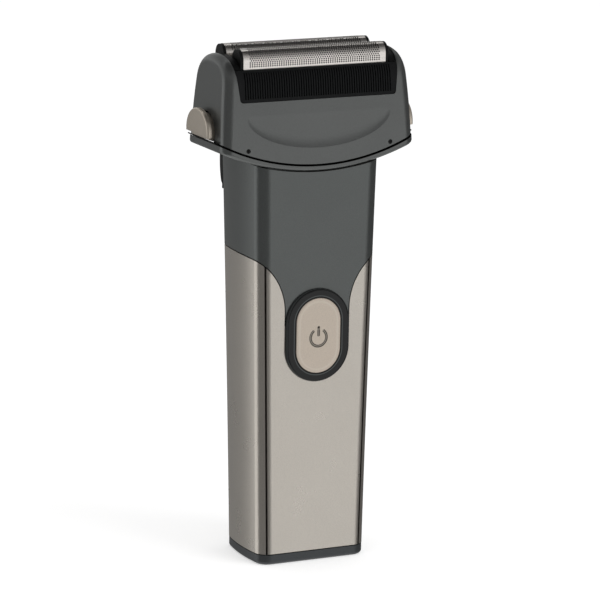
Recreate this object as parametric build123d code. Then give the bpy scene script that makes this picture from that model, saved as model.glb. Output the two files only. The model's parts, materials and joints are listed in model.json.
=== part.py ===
"""Twin-foil electric shaver, modelled as the pieces that it comes apart into.

Millimetres. +Z is up the handle, the shaving button faces -Y, and +X runs along the foils.
The origin is the middle of the flat base.
"""
from math import cos, hypot, radians, sin, sqrt
import os

from build123d import *

# ---------------------------------------------------------------- handle form
FORM_H = 120.0            # height over which the three handle sections are given
BASE_W, MID_W, NECK_W = 36.4, 38.75, 41.4    # widths at the base, half way and at the neck
BASE_D, MID_D, NECK_D = 26.4, 27.5, 29.6     # depths at the same three heights
SIDE_R, SIDE_Y = 65.0, -0.7    # the sides bulge in plan: their radius, and where they are widest
BODY_R = 4.0              # radius of the handle's upright corners
WALL = 1.8                # casing wall
FIT = 0.12                # clearance between pieces that push together
OVERRUN = 6.0             # how far a short cut runs past what it cuts

CAP_H = 3.1               # bottom cap
CAP_EDGE = 1.2            # its rounded lower edge
SPIGOT_H = 3.0            # how far spigots go into the shell above or below
SPIGOT_T = 1.4
LINE_GAP = 0.3            # shadow line between stacked casing pieces
SPLIT_Z = 94.3            # champagne shells end and the dark neck begins
TONGUE_Z, TONGUE_R = 77.5, 19.2    # the neck's tongue flares out on this radius from this height
TONGUE_RUN = 3.6          # its straight sides below that, beside the button's bezel
SEAM_INSET = 3.1          # front seam, in from the handle's side
SEAM_GAP = 0.55

# ---------------------------------------------------------------- head form
HEAD_Y = -1.2             # middle plane of the head
SEAM_Z = 121.5            # lowest point of the curved parting line under the head
SEAM_R = 70.0             # its radius
HEAD_W, BELLY_IN, TOP_IN = 62.0, 0.65, 2.45    # width at the rim, and how far each side leans in above it
HEAD_D = 27.3
HEAD_UNDER, HEAD_BELLY, HEAD_H, HEAD_OVER = 2.5, 16.5, 32.5, 3.0    # their heights from the seam
SHOULDER_Y, SHOULDER_DROP = 11.6, 7.6
CROWN_Y, CROWN_DROP = 5.5, 0.7
HEAD_R = 2.8
HEAD_WALL = 1.6
HEAD_GAP = 0.5
COLLAR_T, COLLAR_R = 1.55, 76.0    # thickness in the middle, and the underside's flatter radius
COLLAR_PROUD = 0.25
COLLAR_EDGE = 1.0
COLLAR_LINE = 0.3         # shadow line between collar and neck
COLLAR_SPIGOT = 7.0       # how far its ring reaches down into the neck
COLLAR_HOLE_W, COLLAR_HOLE_D = 30.4, 15.8    # opening that the drive comes up through

WINDOW_DROP, WINDOW_FLARE = 13.1, 0.12
WINDOW_LIP = 0.95         # the frame's end that shows past each foil
WINDOW_R = 1.0
DISH_HALF, DISH_H, DISH_UNDER, DISH_DEPTH, DISH_R = 26.4, 11.85, 2.9, 1.0, 7.6
DISH_TILT, DISH_OUT = 29.0, 4.0
COMB_DROP, COMB_SUNK = 3.8, 0.05
RIB_PITCH, RIB_GROOVE, RIB_DEPTH = 0.78, 0.38, 0.45
RIB_SIDE, RIB_UNDER, RIB_OVER = 1.5, 1.0, 0.6    # plain margins round the ribs

# ---------------------------------------------------------------- foils and cutters
FOIL_PITCH = 12.2
FOIL_HALF = 23.0
FOIL_W, FOIL_T = 6.4, 0.2
FOIL_PROUD, FOIL_H = 2.0, 6.7    # crest over the head's top, and the foil's height
FOIL_FLOAT = 1.0          # how far a foil gives way
CARRIER_H, CARRIER_T, CARRIER_END = 2.8, 0.4, 0.9
CARRIER_PROUD, END_SUNK = 0.15, 0.1    # its rails stand out past the foil, its end plates stay in
HOOK_L, HOOK_H, HOOK_HALF = 0.8, 1.1, 2.0
POCKET_GAP, POCKET_SIDE = 0.25, 0.2
FRAME_UNDER, FRAME_IN = 0.6, 3.1    # the frame starts below the window, and stops inside the head
FRAME_SUNK = 0.35
MID_BAR_UNDER, RAIL_UP = 2.0, 1.2   # middle bar and side rails, from the foil carriers' undersides
LEG_IN, LEG_OUT, LEG_GAP = 2.5, 3.0, 0.3    # each leg, either way from its head screw
FRAME_JOIN = 0.5          # how far the frame's bars run into its ends
BLADE_GAP, BLADE_T, BLADE_PITCH = 0.25, 0.4, 1.9
CUTTER_SHORT = 2.4        # a cutter ends this far inside its foil
CUTTER_DROP, SPINE_UP, SPINE_HALF = 3.5, 0.7, 2.2
HUB_HALF_X, HUB_HALF_Y, HUB_DROP = 4.5, 2.6, 1.5
DRIVE_TRAVEL = 1.1        # half stroke of the cutters

# ---------------------------------------------------------------- drive
POST_X, POST_Y, POST_DEEP = 4.4, 3.0, 3.2
SOCKET_GAP, POST_ROOM = 0.1, 0.3    # beside each post, and over it with the foil pressed right down
SLOT_X, SLOT_Y = 0.6, 0.4    # room round each post in the deck, past its travel
BRIDGE_UP, BRIDGE_T, BRIDGE_IN = 2.9, 2.8, 7.0    # its rise over the rim line, at its ends
DECK_IN, DECK_HALF_Y, DECK_DROP, DECK_WALL = 7.0, 9.8, 6.0, 1.6
SEAL_HALF, SEAL_W, SEAL_T, SEAL_GAP = 7.0, 6.0, 0.8, 0.3
LEAF_T, LEAF_HALF_Y, FOOT_L, FOOT_DROP = 0.6, 5.0, 3.5, 1.1
SPRING_WIRE, SPRING_R, SPRING_TURNS = 0.36, 3.1, 4
MOTOR_Y = 0.4
MOTOR_R, MOTOR_FLAT, MOTOR_L = 10.2, 7.75, 28.0
MOTOR_WALL, MOTOR_FACE = 0.9, 1.6    # its can, and the can's front plate
MAGNET_T, MAGNET_END = 1.7, 4.0
CORE_R, CORE_END = 6.4, 5.5          # wound core, and how far it stops short of each end
MOTOR_SCREW_X, MOTOR_SCREW_PAST = 6.0, 0.4
END_CAP_H = 3.2
SHAFT_R, SHAFT_GAP, SHAFT_DEEP, SHAFT_TIP = 1.0, 0.05, 1.6, 0.3
BEARING_R, BEARING_H = 2.5, 2.6
BRACKET_T = 1.6
THROW = 1.0               # offset of the eccentric pin
PIN_GAP, PIN_SHORT = 0.2, 0.3    # room round the circle that the pin sweeps, and over the pin
HUB_R, HUB_UP, HUB_H, PIN_R = 3.5, 3.0, 6.0, 1.0

# ---------------------------------------------------------------- release buttons
PRESS = 1.0
BUTTON_Y = -0.55
D_HALF, D_RISE, D_STRAIGHT, D_H = 8.05, 1.7, 1.0, 7.75    # rise over the rim, upright sides, height
FACE_PROUD, FACE_T, STALK_T = 2.5, 1.35, 3.45    # the face overhangs the stalk that goes through the cover
D_EDGE, STALK_IN, STALK_DROP, NOTCH_GAP = 0.5, 1.6, 0.9, 0.65
BLOCK_L, BLOCK_HALF, BLOCK_UP, BLOCK_H = 1.7, 4.5, 0.45, 4.8
STEM_R, STEM_L, STEM_UP, STEM_GAP = 1.5, 4.8, 3.25, 0.06
STEM_ROOM = 0.3           # left beyond the stem with the button pressed
STEM_BOSS_R, STEM_BOSS_L = 3.0, 4.2
RETURN_WIRE, RETURN_R, RETURN_TURNS = 0.36, 2.1, 2.5

# ---------------------------------------------------------------- power button
POWER_Z = 70.0
RING_W, RING_H, RING_RISE, RING_EDGE = 20.6, 28.35, 1.1, 0.6
POWER_W, POWER_H, POWER_RISE, POWER_EDGE = 14.5, 22.9, 1.3, 0.4
POWER_GAP = 0.12
POWER_TRAVEL = 0.6
LIP, LIP_T, LIP_TOP, LIP_GAP = 0.8, 0.6, -0.65, 0.05
BOOT_T, BOOT_TOP, BOOT_IN, BOOT_HOLE = 0.8, -1.95, 0.3, 0.15
STUD_R, STUD_END = 1.5, -2.7
SYMBOL_R, SYMBOL_STROKE, SYMBOL_DEPTH, SYMBOL_SUNK, SYMBOL_DOWN = 2.6, 0.85, 0.25, 0.08, 0.6
BAR_LOW, BAR_HIGH, SYMBOL_OPEN = -0.25, 2.95, 42.0

# ---------------------------------------------------------------- inside the handle
CHASSIS_GAP, CHASSIS_T = 0.2, 1.3
CHASSIS_DROP = 9.5        # its top, below the head's parting line
LIP_IN = 6.3              # how far the chassis wraps round the front corners
SHELF_T, SHELF_IN = 1.4, 0.1
BOARD_IN, BOARD_DEEP, BOARD_T = 4.4, 5.3, 1.5    # board in from the sides and from the front
BOARD_UP, BOARD_DROP = 12.9, 8.0                 # its ends, from the cap and from the chassis top
RAIL_W, RAIL_D = 2.2, 1.4
CHIPS = [  # middle, height above the board's end, width, height and thickness of each component
    (-5.0, 12.0, 8.0, 8.0, 1.0),
    (6.5, 13.5, 7.0, 7.0, 1.2),
    (-4.0, 26.0, 4.0, 4.0, 0.8),
    (4.0, 27.5, 4.0, 3.0, 0.8),
]
CELL_R, CELL_H, CELL_Y, CELL_UP, CELL_EDGE = 7.1, 50.0, 1.6, 0.7, 0.5
TAB_T, TAB_W, TAB_SHORT = 0.3, 8.0, 1.0
INLET_R, INLET_DEPTH, INLET_W, INLET_D, INLET_LOW = 2.8, 7.5, 9.5, 9.0, 1.4
INLET_FLOOR, INLET_EASE = 1.5, 0.2
CONTACT_R, CONTACT_SUNK = 0.95, 1.0
SWITCH_W, SWITCH_GAP = 6.0, 0.25
CAP_SCREW_IN, CAP_SCREW_LOW, CAP_SCREW_L, CAP_SCREW_TIP = 6.2, 0.9, 8.0, 0.4
SCREW_R, SCREW_HEAD_R, SCREW_HEAD_T, SCREW_GAP, SCREW_EASE = 0.85, 1.9, 1.2, 0.05, 0.2
BOSS_R, BOSS_H = 2.4, 9.9
HEAD_SCREW_IN, HEAD_SCREW_UP = 8.0, 1.5    # in from the head's side, and up from its rim
TINY_R, TINY_HEAD_R, TINY_HEAD_T, TINY_SUNK, TINY_L = 0.4, 0.6, 0.6, 0.25, 2.2
TINY_GAP, TINY_TIP = 0.1, 0.2    # round each of the head's screws, and beyond its tip

# ---------------------------------------------------------------- long-hair trimmer
HINGE_OUT, HINGE_DROP, HINGE_R, HINGE_BORE, EAR_BORE = 1.4, 10.0, 0.8, 0.06, 0.03
FLAP_SIDE, FLAP_GAP, FLAP_T, FLAP_H = 2.5, 0.1, 3.3, 17.5
BARREL_R, FLAP_BELLY_IN, FLAP_BELLY_UP, FLAP_FULL_UP = 1.3, 0.7, 2.1, 7.0
FLAP_EDGE = 1.2
EAR_SIDE, EAR_W, EAR_R, EAR_GAP, EAR_SLOT_UP = 3.0, 2.6, 1.4, 0.3, 2.4
PIN_PAST = 1.0            # hinge pin, past each ear
TRIM_SIDE, TRIM_T, TRIM_DROP, TRIM_PROUD = 3.2, 0.8, 5.0, 1.4
TRIM_TRAVEL, TRIM_GAP, TRIM_SHORT = 0.8, 0.05, 0.4
TOOTH_PITCH, TOOTH_SLOT, TOOTH_DEPTH = 1.25, 0.55, 2.2

# ---------------------------------------------------------------- heights and places that follow
def rim_z(x):
    """Height of the curved line between head and collar."""
    return SEAM_Z + SEAM_R - sqrt(SEAM_R ** 2 - x ** 2)


REACH = HEAD_W            # cutting prisms run further than any half width
HEAD_BELLY_W, HEAD_TOP_W = HEAD_W - 2 * BELLY_IN, HEAD_W - 2 * TOP_IN
TONGUE_HALF = RING_W / 2
TONGUE_END = TONGUE_Z - TONGUE_RUN
HEAD_LOW, HEAD_BELLY_Z, HEAD_TOP = SEAM_Z - HEAD_UNDER, SEAM_Z + HEAD_BELLY, SEAM_Z + HEAD_H
SHOULDER_Z = HEAD_TOP - SHOULDER_DROP
SEAM_AXIS_Z = SEAM_Z + SEAM_R
COVER_DRUM = SEAM_R - HEAD_GAP / 2
COLLAR_DRUM = SEAM_R + HEAD_GAP / 2
UNDER_AXIS_Z = SEAM_Z - HEAD_GAP / 2 - COLLAR_T + COLLAR_R

ARCH_R = FOIL_W / 2
FOIL_TOP = HEAD_TOP + FOIL_PROUD
FOIL_LOW = FOIL_TOP - FOIL_H
ARCH_Z = FOIL_TOP - ARCH_R
FRONT_CREST, REAR_CREST = HEAD_Y - FOIL_PITCH / 2, HEAD_Y + FOIL_PITCH / 2
CARRIER_LOW = FOIL_LOW - CARRIER_H
POCKET_HALF = ARCH_R + CARRIER_PROUD + POCKET_SIDE
POCKET_END = FOIL_HALF + CARRIER_END + POCKET_GAP
WINDOW_Z, WINDOW_HALF = HEAD_TOP - WINDOW_DROP, POCKET_END + WINDOW_LIP
DISH_Z = WINDOW_Z - DISH_UNDER
COMB_TOP = HEAD_TOP - COMB_DROP
FRAME_LOW, FRAME_HALF = WINDOW_Z - FRAME_UNDER, HEAD_W / 2 - FRAME_IN
HEAD_SCREW_X = HEAD_W / 2 - HEAD_SCREW_IN
HEAD_SCREW_Z = rim_z(HEAD_SCREW_X) + HEAD_SCREW_UP

CUTTER_HALF, CUTTER_LOW = FOIL_HALF - CUTTER_SHORT, CARRIER_LOW - CUTTER_DROP
SPINE_TOP = FOIL_LOW + SPINE_UP
POST_TOP = CUTTER_LOW + POST_DEEP
DECK_HALF, DECK_TOP = HEAD_W / 2 - DECK_IN, CUTTER_LOW - DECK_DROP
BRIDGE_HALF = DECK_HALF - BRIDGE_IN
BRIDGE_LOW = rim_z(BRIDGE_HALF) + BRIDGE_UP
BRIDGE_TOP = BRIDGE_LOW + BRIDGE_T
CHASSIS_TOP = SEAM_Z - CHASSIS_DROP
MOTOR_TOP, MOTOR_LOW = CHASSIS_TOP, CHASSIS_TOP - MOTOR_L
HUB_LOW = MOTOR_TOP + HUB_UP

D_FACE = HEAD_W / 2 + FACE_PROUD
D_STEP = D_FACE - FACE_T
D_BACK = D_STEP - STALK_T
D_LOW = rim_z(HEAD_W / 2) + D_RISE
BLOCK_IN = D_BACK - BLOCK_L
STEM_IN, STEM_Z = BLOCK_IN - STEM_L, D_LOW + STEM_UP

BOSS_TOP = CAP_H + BOSS_H
CELL_Z = BOSS_TOP + CELL_UP
CAP_SCREW_X = BASE_W / 2 - CAP_SCREW_IN
BOARD_HALF, BOARD_BACK = BASE_W / 2 - BOARD_IN, BOARD_DEEP - BASE_D / 2
BOARD_LOW, BOARD_HIGH = CAP_H + BOARD_UP, CHASSIS_TOP - BOARD_DROP

HINGE_Y, HINGE_Z = NECK_D / 2 + HINGE_OUT, SEAM_Z - HINGE_DROP
FLAP_IN, FLAP_TOP = NECK_D / 2 + FLAP_GAP, HINGE_Z + FLAP_H
FLAP_OUT, FLAP_HALF = FLAP_IN + FLAP_T, NECK_W / 2 - FLAP_SIDE
EAR_OUT = FLAP_HALF - EAR_SIDE
EAR_IN = EAR_OUT - EAR_W
TRIM_HALF, TRIM_LOW, TRIM_TOP = FLAP_HALF - TRIM_SIDE, FLAP_TOP - TRIM_DROP, FLAP_TOP + TRIM_PROUD
CENTRED_LOW = (Align.CENTER, Align.CENTER, Align.MIN)


# ---------------------------------------------------------------- basic shapes
def blend(low, middle, high, z):
    """Size at height z of a form given at the base, half way and full height."""
    t = z / FORM_H
    return low * (1 - t) * (1 - 2 * t) + 4 * middle * t * (1 - t) + high * t * (2 * t - 1)


def half_width(z):
    return blend(BASE_W, MID_W, NECK_W, z) / 2


def half_depth(z):
    return blend(BASE_D, MID_D, NECK_D, z) / 2


def block(x, y, z):
    """Box from three (low, high) pairs."""
    middle = [(low + high) / 2 for low, high in (x, y, z)]
    return Pos(*middle) * Box(*[high - low for low, high in (x, y, z)])


def span(middle, size):
    """The (low, high) pair of a size centred on a middle."""
    return (middle - size / 2, middle + size / 2)


def rod(start, direction, radius, length):
    return Plane(start, z_dir=direction) * Cylinder(radius, length, align=CENTRED_LOW)


def tube(start, direction, outer, inner, length):
    return rod(start, direction, outer, length) - rod(start, direction, inner, length)


def slab(outline, along):
    """Endless prism of a closed outline of edges, along a direction."""
    face = make_face(outline)
    return extrude(face, REACH, dir=along, both=True)


def both_sides(shape):
    """A shape and its mirror image across the YZ plane."""
    return shape + mirror(shape, about=Plane.YZ)


def to_rear(shape):
    """Mirror image across the head's middle plane."""
    return mirror(shape, about=Plane((0, HEAD_Y, 0), z_dir=(0, 1, 0)))


def drum(radius, axis_z=SEAM_AXIS_Z):
    """Cylinder along Y whose underside is the smile-shaped parting surface."""
    return rod((0, -REACH, axis_z), (0, 1, 0), radius, 2 * REACH)


def tall_edges(form, height):
    return [e for e in form.edges() if e.bounding_box().size.Z > 0.9 * height]


def side_barrel(inset, z0, z1):
    """Barrel, bulging in plan, whose right-hand side is the handle's right side."""
    heights = (z0, (z0 + z1) / 2, z1)
    axis_x = BASE_W / 2 - SIDE_R
    radii = [half_width(z) - axis_x - inset for z in heights]
    wall = ThreePointArc(*[(axis_x - radius, SIDE_Y, z) for radius, z in zip(radii, heights)])
    hub = Polyline(wall @ 1, (axis_x, SIDE_Y, z1), (axis_x, SIDE_Y, z0), wall @ 0)
    return revolve(make_face([wall, hub]), Axis((axis_x, SIDE_Y, 0), (0, 0, 1)))


def front_to_back(inset, z0, z1):
    """Endless prism along X between the handle's front and back."""
    heights = (z0, (z0 + z1) / 2, z1)
    front = ThreePointArc(*[(0, inset - half_depth(z), z) for z in heights])
    back = ThreePointArc(*[(0, half_depth(z) - inset, z) for z in heights])
    return slab([front, back, Line(front @ 0, back @ 0), Line(front @ 1, back @ 1)], (1, 0, 0))


def handle(inset, z0, z1):
    """Solid handle form between two heights, drawn in by inset all round."""
    barrel = side_barrel(inset, z0, z1)
    form = barrel & mirror(barrel, about=Plane.YZ) & front_to_back(inset, z0, z1)
    return fillet(tall_edges(form, z1 - z0), max(BODY_R - inset, 0.5))


def casing(z0, z1):
    """Hollow handle wall between two heights."""
    return handle(0, z0, z1) - handle(WALL, z0 - 1, z1 + 1)


def spigot(z0, z1):
    """Ring that plugs into the casing wall."""
    inset = WALL + FIT
    return handle(inset, z0, z1) - handle(inset + SPIGOT_T, z0 - 1, z1 + 1)


def head_front_outline():
    low, belly, high = HEAD_W / 2, HEAD_BELLY_W / 2, HEAD_TOP_W / 2
    top = HEAD_TOP + HEAD_OVER
    right = ThreePointArc((low, 0, HEAD_LOW), (belly, 0, HEAD_BELLY_Z), (high, 0, top))
    left = ThreePointArc((-low, 0, HEAD_LOW), (-belly, 0, HEAD_BELLY_Z), (-high, 0, top))
    return [right, left, Line(right @ 0, left @ 0), Line(right @ 1, left @ 1)]


def head_side_outline():
    def at(y, z):
        return (0, HEAD_Y + y, z)
    crown_z = HEAD_TOP - CROWN_DROP
    crown = ThreePointArc(at(-CROWN_Y, crown_z), at(0, HEAD_TOP), at(CROWN_Y, crown_z))
    edges = [crown]
    for side, end, way in ((1, 1, 1), (-1, 0, -1)):
        shoulder = TangentArc(crown @ end, at(side * SHOULDER_Y, SHOULDER_Z), tangent=(crown % end) * way)
        flank = TangentArc(shoulder @ 1, at(side * HEAD_D / 2, HEAD_LOW), tangent=shoulder % 1)
        edges += [shoulder, flank]
    edges.append(Line(at(-HEAD_D / 2, HEAD_LOW), at(HEAD_D / 2, HEAD_LOW)))
    return edges


def head_form(inset):
    """Solid head form, drawn in by inset all round (grown if inset is negative)."""
    front = make_face(head_front_outline())
    side = make_face(head_side_outline())
    if inset:
        front = offset(front, -inset, kind=Kind.INTERSECTION)
        side = offset(side, -inset, kind=Kind.INTERSECTION)
    form = extrude(front, REACH, dir=(0, 1, 0), both=True) & extrude(side, REACH, dir=(1, 0, 0), both=True)
    floor = form.bounding_box().min.Z
    rim = [e for e in form.edges() if e.bounding_box().size.X < 3 and e.center().Z > floor + 1]
    return fillet(rim, max(HEAD_R - inset, 0.8))


def window(clearance, low, high):
    """Prism through the head's window, between two heights, with flared sides."""
    def side(z):
        return WINDOW_HALF + WINDOW_FLARE * (z - WINDOW_Z) - clearance
    a, b = side(low), side(high)
    outline = Polyline((-a, 0, low), (a, 0, low), (b, 0, high), (-b, 0, high), (-a, 0, low))
    return slab([outline], (0, 1, 0))


def window_corners(prism):
    """The two lower edges of a window prism, front to back."""
    return [e for e in prism.edges() if e.bounding_box().size.Y > HEAD_D / 2 and e.center().Z < WINDOW_Z + 1]


def d_outline(grow, low):
    """Half-round outline of a release button, in the YZ plane."""
    half, top, spring = D_HALF + grow, D_LOW + D_H + grow, D_LOW + D_STRAIGHT + grow
    place = Plane((0, BUTTON_Y, spring), x_dir=(0, 1, 0), z_dir=(1, 0, 0))
    arc = place * EllipticalCenterArc((0, 0), half, top - spring, arc_size=180)
    left, right = BUTTON_Y - half, BUTTON_Y + half
    foot = Polyline((0, right, spring), (0, right, low), (0, left, low), (0, left, spring))
    return make_face([arc, foot])


def d_plate(grow, low, x0, x1):
    return Pos(x0, 0, 0) * extrude(d_outline(grow, low), x1 - x0, dir=(1, 0, 0))


def coil(start, direction, radius, wire, length, turns):
    """Compression spring, its ends resting on planes at start and start + length."""
    pitch = (length - wire) / turns
    path = Helix(pitch, length - wire, radius)
    section = Plane(path @ 0, z_dir=path % 0) * Circle(wire / 2)
    spring = Pos(0, 0, wire / 2) * sweep(section, path)
    return Plane(start, z_dir=direction) * spring


def power_plane():
    """Plane on the handle's front at the power button, facing out."""
    lean = (half_depth(POWER_Z + RING_H / 2) - half_depth(POWER_Z - RING_H / 2)) / RING_H
    return Plane((0, -half_depth(POWER_Z), POWER_Z), x_dir=(1, 0, 0), z_dir=(0, -1, -lean))


def stadium(width, height, low, high):
    """Upright stadium between two depths, in the power button's own plane."""
    return Pos(0, 0, low) * extrude(SlotOverall(height, width, rotation=90), high - low)


# ---------------------------------------------------------------- casing
def neck_mask(grow):
    """Everything above the parting line, tongue included, for pieces on the front."""
    centre = TONGUE_HALF + TONGUE_R
    radius = TONGUE_R - grow
    split = SPLIT_Z - grow
    reach = sqrt(radius ** 2 - (split - TONGUE_Z) ** 2)
    turn = (centre - radius * cos(radians(28)), TONGUE_Z + radius * sin(radians(28)))
    low = TONGUE_END - grow
    half = TONGUE_HALF + grow
    right = [
        Line((half, 0, low), (half, 0, TONGUE_Z)),
        ThreePointArc((half, 0, TONGUE_Z), (turn[0], 0, turn[1]), (centre - reach, 0, split)),
        Line((centre - reach, 0, split), (REACH, 0, split)),
        Line((REACH, 0, split), (REACH, 0, SEAM_AXIS_Z)),
    ]
    left = [mirror(edge, about=Plane.YZ) for edge in right]
    closing = [Line((-half, 0, low), (half, 0, low)),
               Line((-REACH, 0, SEAM_AXIS_Z), (REACH, 0, SEAM_AXIS_Z))]
    face = make_face(right + left + closing)
    front = extrude(face, REACH, dir=(0, -1, 0))
    above = block((-REACH, REACH), (-1, REACH), (split, SEAM_AXIS_Z))
    return front + above


def front_field(grow):
    """Prism in front of the handle, between the two upright seams."""
    z0, z1 = 0.0, SPLIT_Z + 5
    zm = (z0 + z1) / 2
    low, middle, high = (half_width(z) - SEAM_INSET + grow for z in (z0, zm, z1))
    right = ThreePointArc((low, 0, z0), (middle, 0, zm), (high, 0, z1))
    left = ThreePointArc((-low, 0, z0), (-middle, 0, zm), (-high, 0, z1))
    face = make_face([right, left, Line(right @ 0, left @ 0), Line(right @ 1, left @ 1)])
    return extrude(face, REACH, dir=(0, -1, 0))


def bezel_hole():
    return power_plane() * stadium(RING_W + FIT, RING_H + FIT, -OVERRUN, OVERRUN)


def bottom_cap():
    outline = handle(0, 0, CAP_H).faces().sort_by(Axis.Z)[0]
    foot = extrude(outline, CAP_H, dir=(0, 0, 1))
    foot = fillet(foot.faces().sort_by(Axis.Z)[0].edges(), CAP_EDGE)
    cap = foot + spigot(CAP_H, CAP_H + SPIGOT_H)
    cap -= rod((0, 0, -1), (0, 0, 1), INLET_R + INLET_EASE, CAP_H + 2)
    cap -= block((-INLET_W / 2 - FIT, INLET_W / 2 + FIT), (-INLET_D / 2 - FIT, INLET_D / 2 + FIT),
                 (INLET_LOW, CAP_H + 1))
    for x in (-CAP_SCREW_X, CAP_SCREW_X):
        cap -= rod((x, 0, -1), (0, 0, 1), SCREW_R + SCREW_EASE, CAP_H + 2)
        cap -= rod((x, 0, -1), (0, 0, 1), SCREW_HEAD_R + SCREW_EASE, 1 + CAP_SCREW_LOW + SCREW_HEAD_T)
    return cap


def lower_casing():
    return casing(CAP_H + LINE_GAP, SPLIT_Z) - neck_mask(LINE_GAP)


def rear_shell():
    return lower_casing() - front_field(SEAM_GAP / 2)


def front_panel():
    panel = lower_casing() & front_field(-SEAM_GAP / 2)
    return panel - bezel_hole()


def hinge_ears():
    """Lugs on the neck's back that carry the trimmer's hinge pin."""
    foot = block((EAR_IN, EAR_OUT), (half_depth(HINGE_Z) - WALL / 2, HINGE_Y), span(HINGE_Z, 2 * EAR_R))
    ear = foot + rod((EAR_IN, HINGE_Y, HINGE_Z), (1, 0, 0), EAR_R, EAR_OUT - EAR_IN)
    return both_sides(ear)


def upper_shell():
    top = SEAM_Z + SEAM_R / 10
    shell = casing(TONGUE_END - 5, top) & neck_mask(0)
    shell -= drum(COLLAR_R + COLLAR_LINE, UNDER_AXIS_Z)
    shell -= bezel_hole()
    shell += hinge_ears()
    return shell - rod((-REACH, HINGE_Y, HINGE_Z), (1, 0, 0), HINGE_R + EAR_BORE, 2 * REACH)


def collar():
    plate = (head_form(-COLLAR_PROUD) & drum(COLLAR_R, UNDER_AXIS_Z)) - drum(COLLAR_DRUM)
    lower = [e for e in plate.edges()
             if abs(hypot(e.center().X, UNDER_AXIS_Z - e.center().Z) - COLLAR_R) < 0.4]
    plate = fillet(lower, COLLAR_EDGE)
    ring = spigot(SEAM_Z - COLLAR_SPIGOT, SEAM_Z + COLLAR_T) - drum(COLLAR_DRUM)
    opening = block(span(0, COLLAR_HOLE_W), span(HEAD_Y, COLLAR_HOLE_D), (SEAM_Z - REACH, SEAM_AXIS_Z))
    return plate + ring - opening


# ---------------------------------------------------------------- power button
def button_bezel():
    ring = stadium(RING_W, RING_H, -WALL, RING_RISE)
    ring = fillet(ring.faces().sort_by(Axis.Z)[-1].edges(), RING_EDGE)
    ring -= stadium(POWER_W + 2 * POWER_GAP, POWER_H + 2 * POWER_GAP, -WALL - 1, RING_RISE + 1)
    rebate = 2 * (LIP + POWER_GAP)
    ring -= stadium(POWER_W + rebate, POWER_H + rebate, -WALL - 1, LIP_TOP + LIP_GAP)
    return power_plane() * ring


def symbol_marks(low, high):
    """Generic power symbol: a ring open at the top, and a bar."""
    ring = Circle(SYMBOL_R + SYMBOL_STROKE / 2) - Circle(SYMBOL_R - SYMBOL_STROKE / 2)
    gap_width = 2 * SYMBOL_R * sin(radians(SYMBOL_OPEN))
    gap_depth = 2 * SYMBOL_R * (1 - cos(radians(SYMBOL_OPEN))) + SYMBOL_STROKE
    ring -= Pos(0, SYMBOL_R) * Rectangle(gap_width, gap_depth)
    end = Pos(gap_width / 2, SYMBOL_R * cos(radians(SYMBOL_OPEN))) * Circle(SYMBOL_STROKE / 2)
    ring += [end, mirror(end, about=Plane.YZ)]
    bar = Pos(0, (BAR_LOW + BAR_HIGH) / 2) * SlotOverall(BAR_HIGH - BAR_LOW, SYMBOL_STROKE, rotation=90)
    place = Pos(0, -SYMBOL_DOWN, low)
    return place * extrude(ring, high - low) + Pos(0, 0, low) * extrude(bar, high - low)


def power_button():
    key = stadium(POWER_W, POWER_H, LIP_TOP - LIP_T, POWER_RISE)
    key = fillet(key.faces().sort_by(Axis.Z)[-1].edges(), POWER_EDGE)
    key += stadium(POWER_W + 2 * LIP, POWER_H + 2 * LIP, LIP_TOP - LIP_T, LIP_TOP)
    key += Pos(0, 0, STUD_END) * Cylinder(STUD_R, LIP_TOP - STUD_END, align=CENTRED_LOW)
    key -= symbol_marks(POWER_RISE - SYMBOL_DEPTH, POWER_RISE + 1)
    return power_plane() * key


def power_symbol():
    return power_plane() * symbol_marks(POWER_RISE - SYMBOL_DEPTH, POWER_RISE - SYMBOL_SUNK)


def button_boot():
    sheet = stadium(RING_W - 2 * BOOT_IN, RING_H - 2 * BOOT_IN, BOOT_TOP - BOOT_T, BOOT_TOP)
    sheet -= Pos(0, 0, BOOT_TOP - OVERRUN) * Cylinder(STUD_R + BOOT_HOLE, 2 * OVERRUN, align=CENTRED_LOW)
    return power_plane() * sheet


# ---------------------------------------------------------------- inside the handle
def chassis():
    inset = WALL + CHASSIS_GAP
    low = CAP_H + SPIGOT_H + FIT
    ring = handle(inset, low, CHASSIS_TOP) - handle(inset + CHASSIS_T, low - 1, CHASSIS_TOP + 1)
    front_opening = 2 * (half_width(low) - LIP_IN)
    ring -= block(span(0, front_opening), (-REACH, 0), (low - 1, CHASSIS_TOP + 1))
    cell_top = CELL_Z + CELL_H + TAB_T
    motor_floor = MOTOR_LOW - END_CAP_H
    frame = ring
    for top in (CELL_Z - TAB_T, cell_top + SHELF_T, motor_floor):
        shelf = handle(inset + CHASSIS_T / 2, top - SHELF_T, top)
        frame += shelf & block((-REACH, REACH), (BOARD_BACK + SHELF_IN, REACH), (0, FORM_H))
    inner = half_width(low) - inset - CHASSIS_T
    rail = block((inner - RAIL_W, inner + CHASSIS_T / 2), (BOARD_BACK, BOARD_BACK + RAIL_D),
                 (BOARD_LOW, BOARD_HIGH))
    frame += both_sides(rail)
    boss = rod((CAP_SCREW_X, 0, CAP_H), (0, 0, 1), BOSS_R, BOSS_H)
    frame += both_sides(boss & handle(inset + SPIGOT_T + FIT, CAP_H, BOSS_TOP + 2))
    pilot_l = SCREW_HEAD_T + CAP_SCREW_L + CAP_SCREW_TIP
    pilot = rod((CAP_SCREW_X, 0, CAP_SCREW_LOW), (0, 0, 1), SCREW_R + SCREW_GAP, pilot_l)
    return frame - both_sides(pilot)


def battery():
    can = rod((0, CELL_Y, CELL_Z), (0, 0, 1), CELL_R, CELL_H)
    return fillet(can.edges().filter_by(GeomType.CIRCLE), CELL_EDGE)


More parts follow.
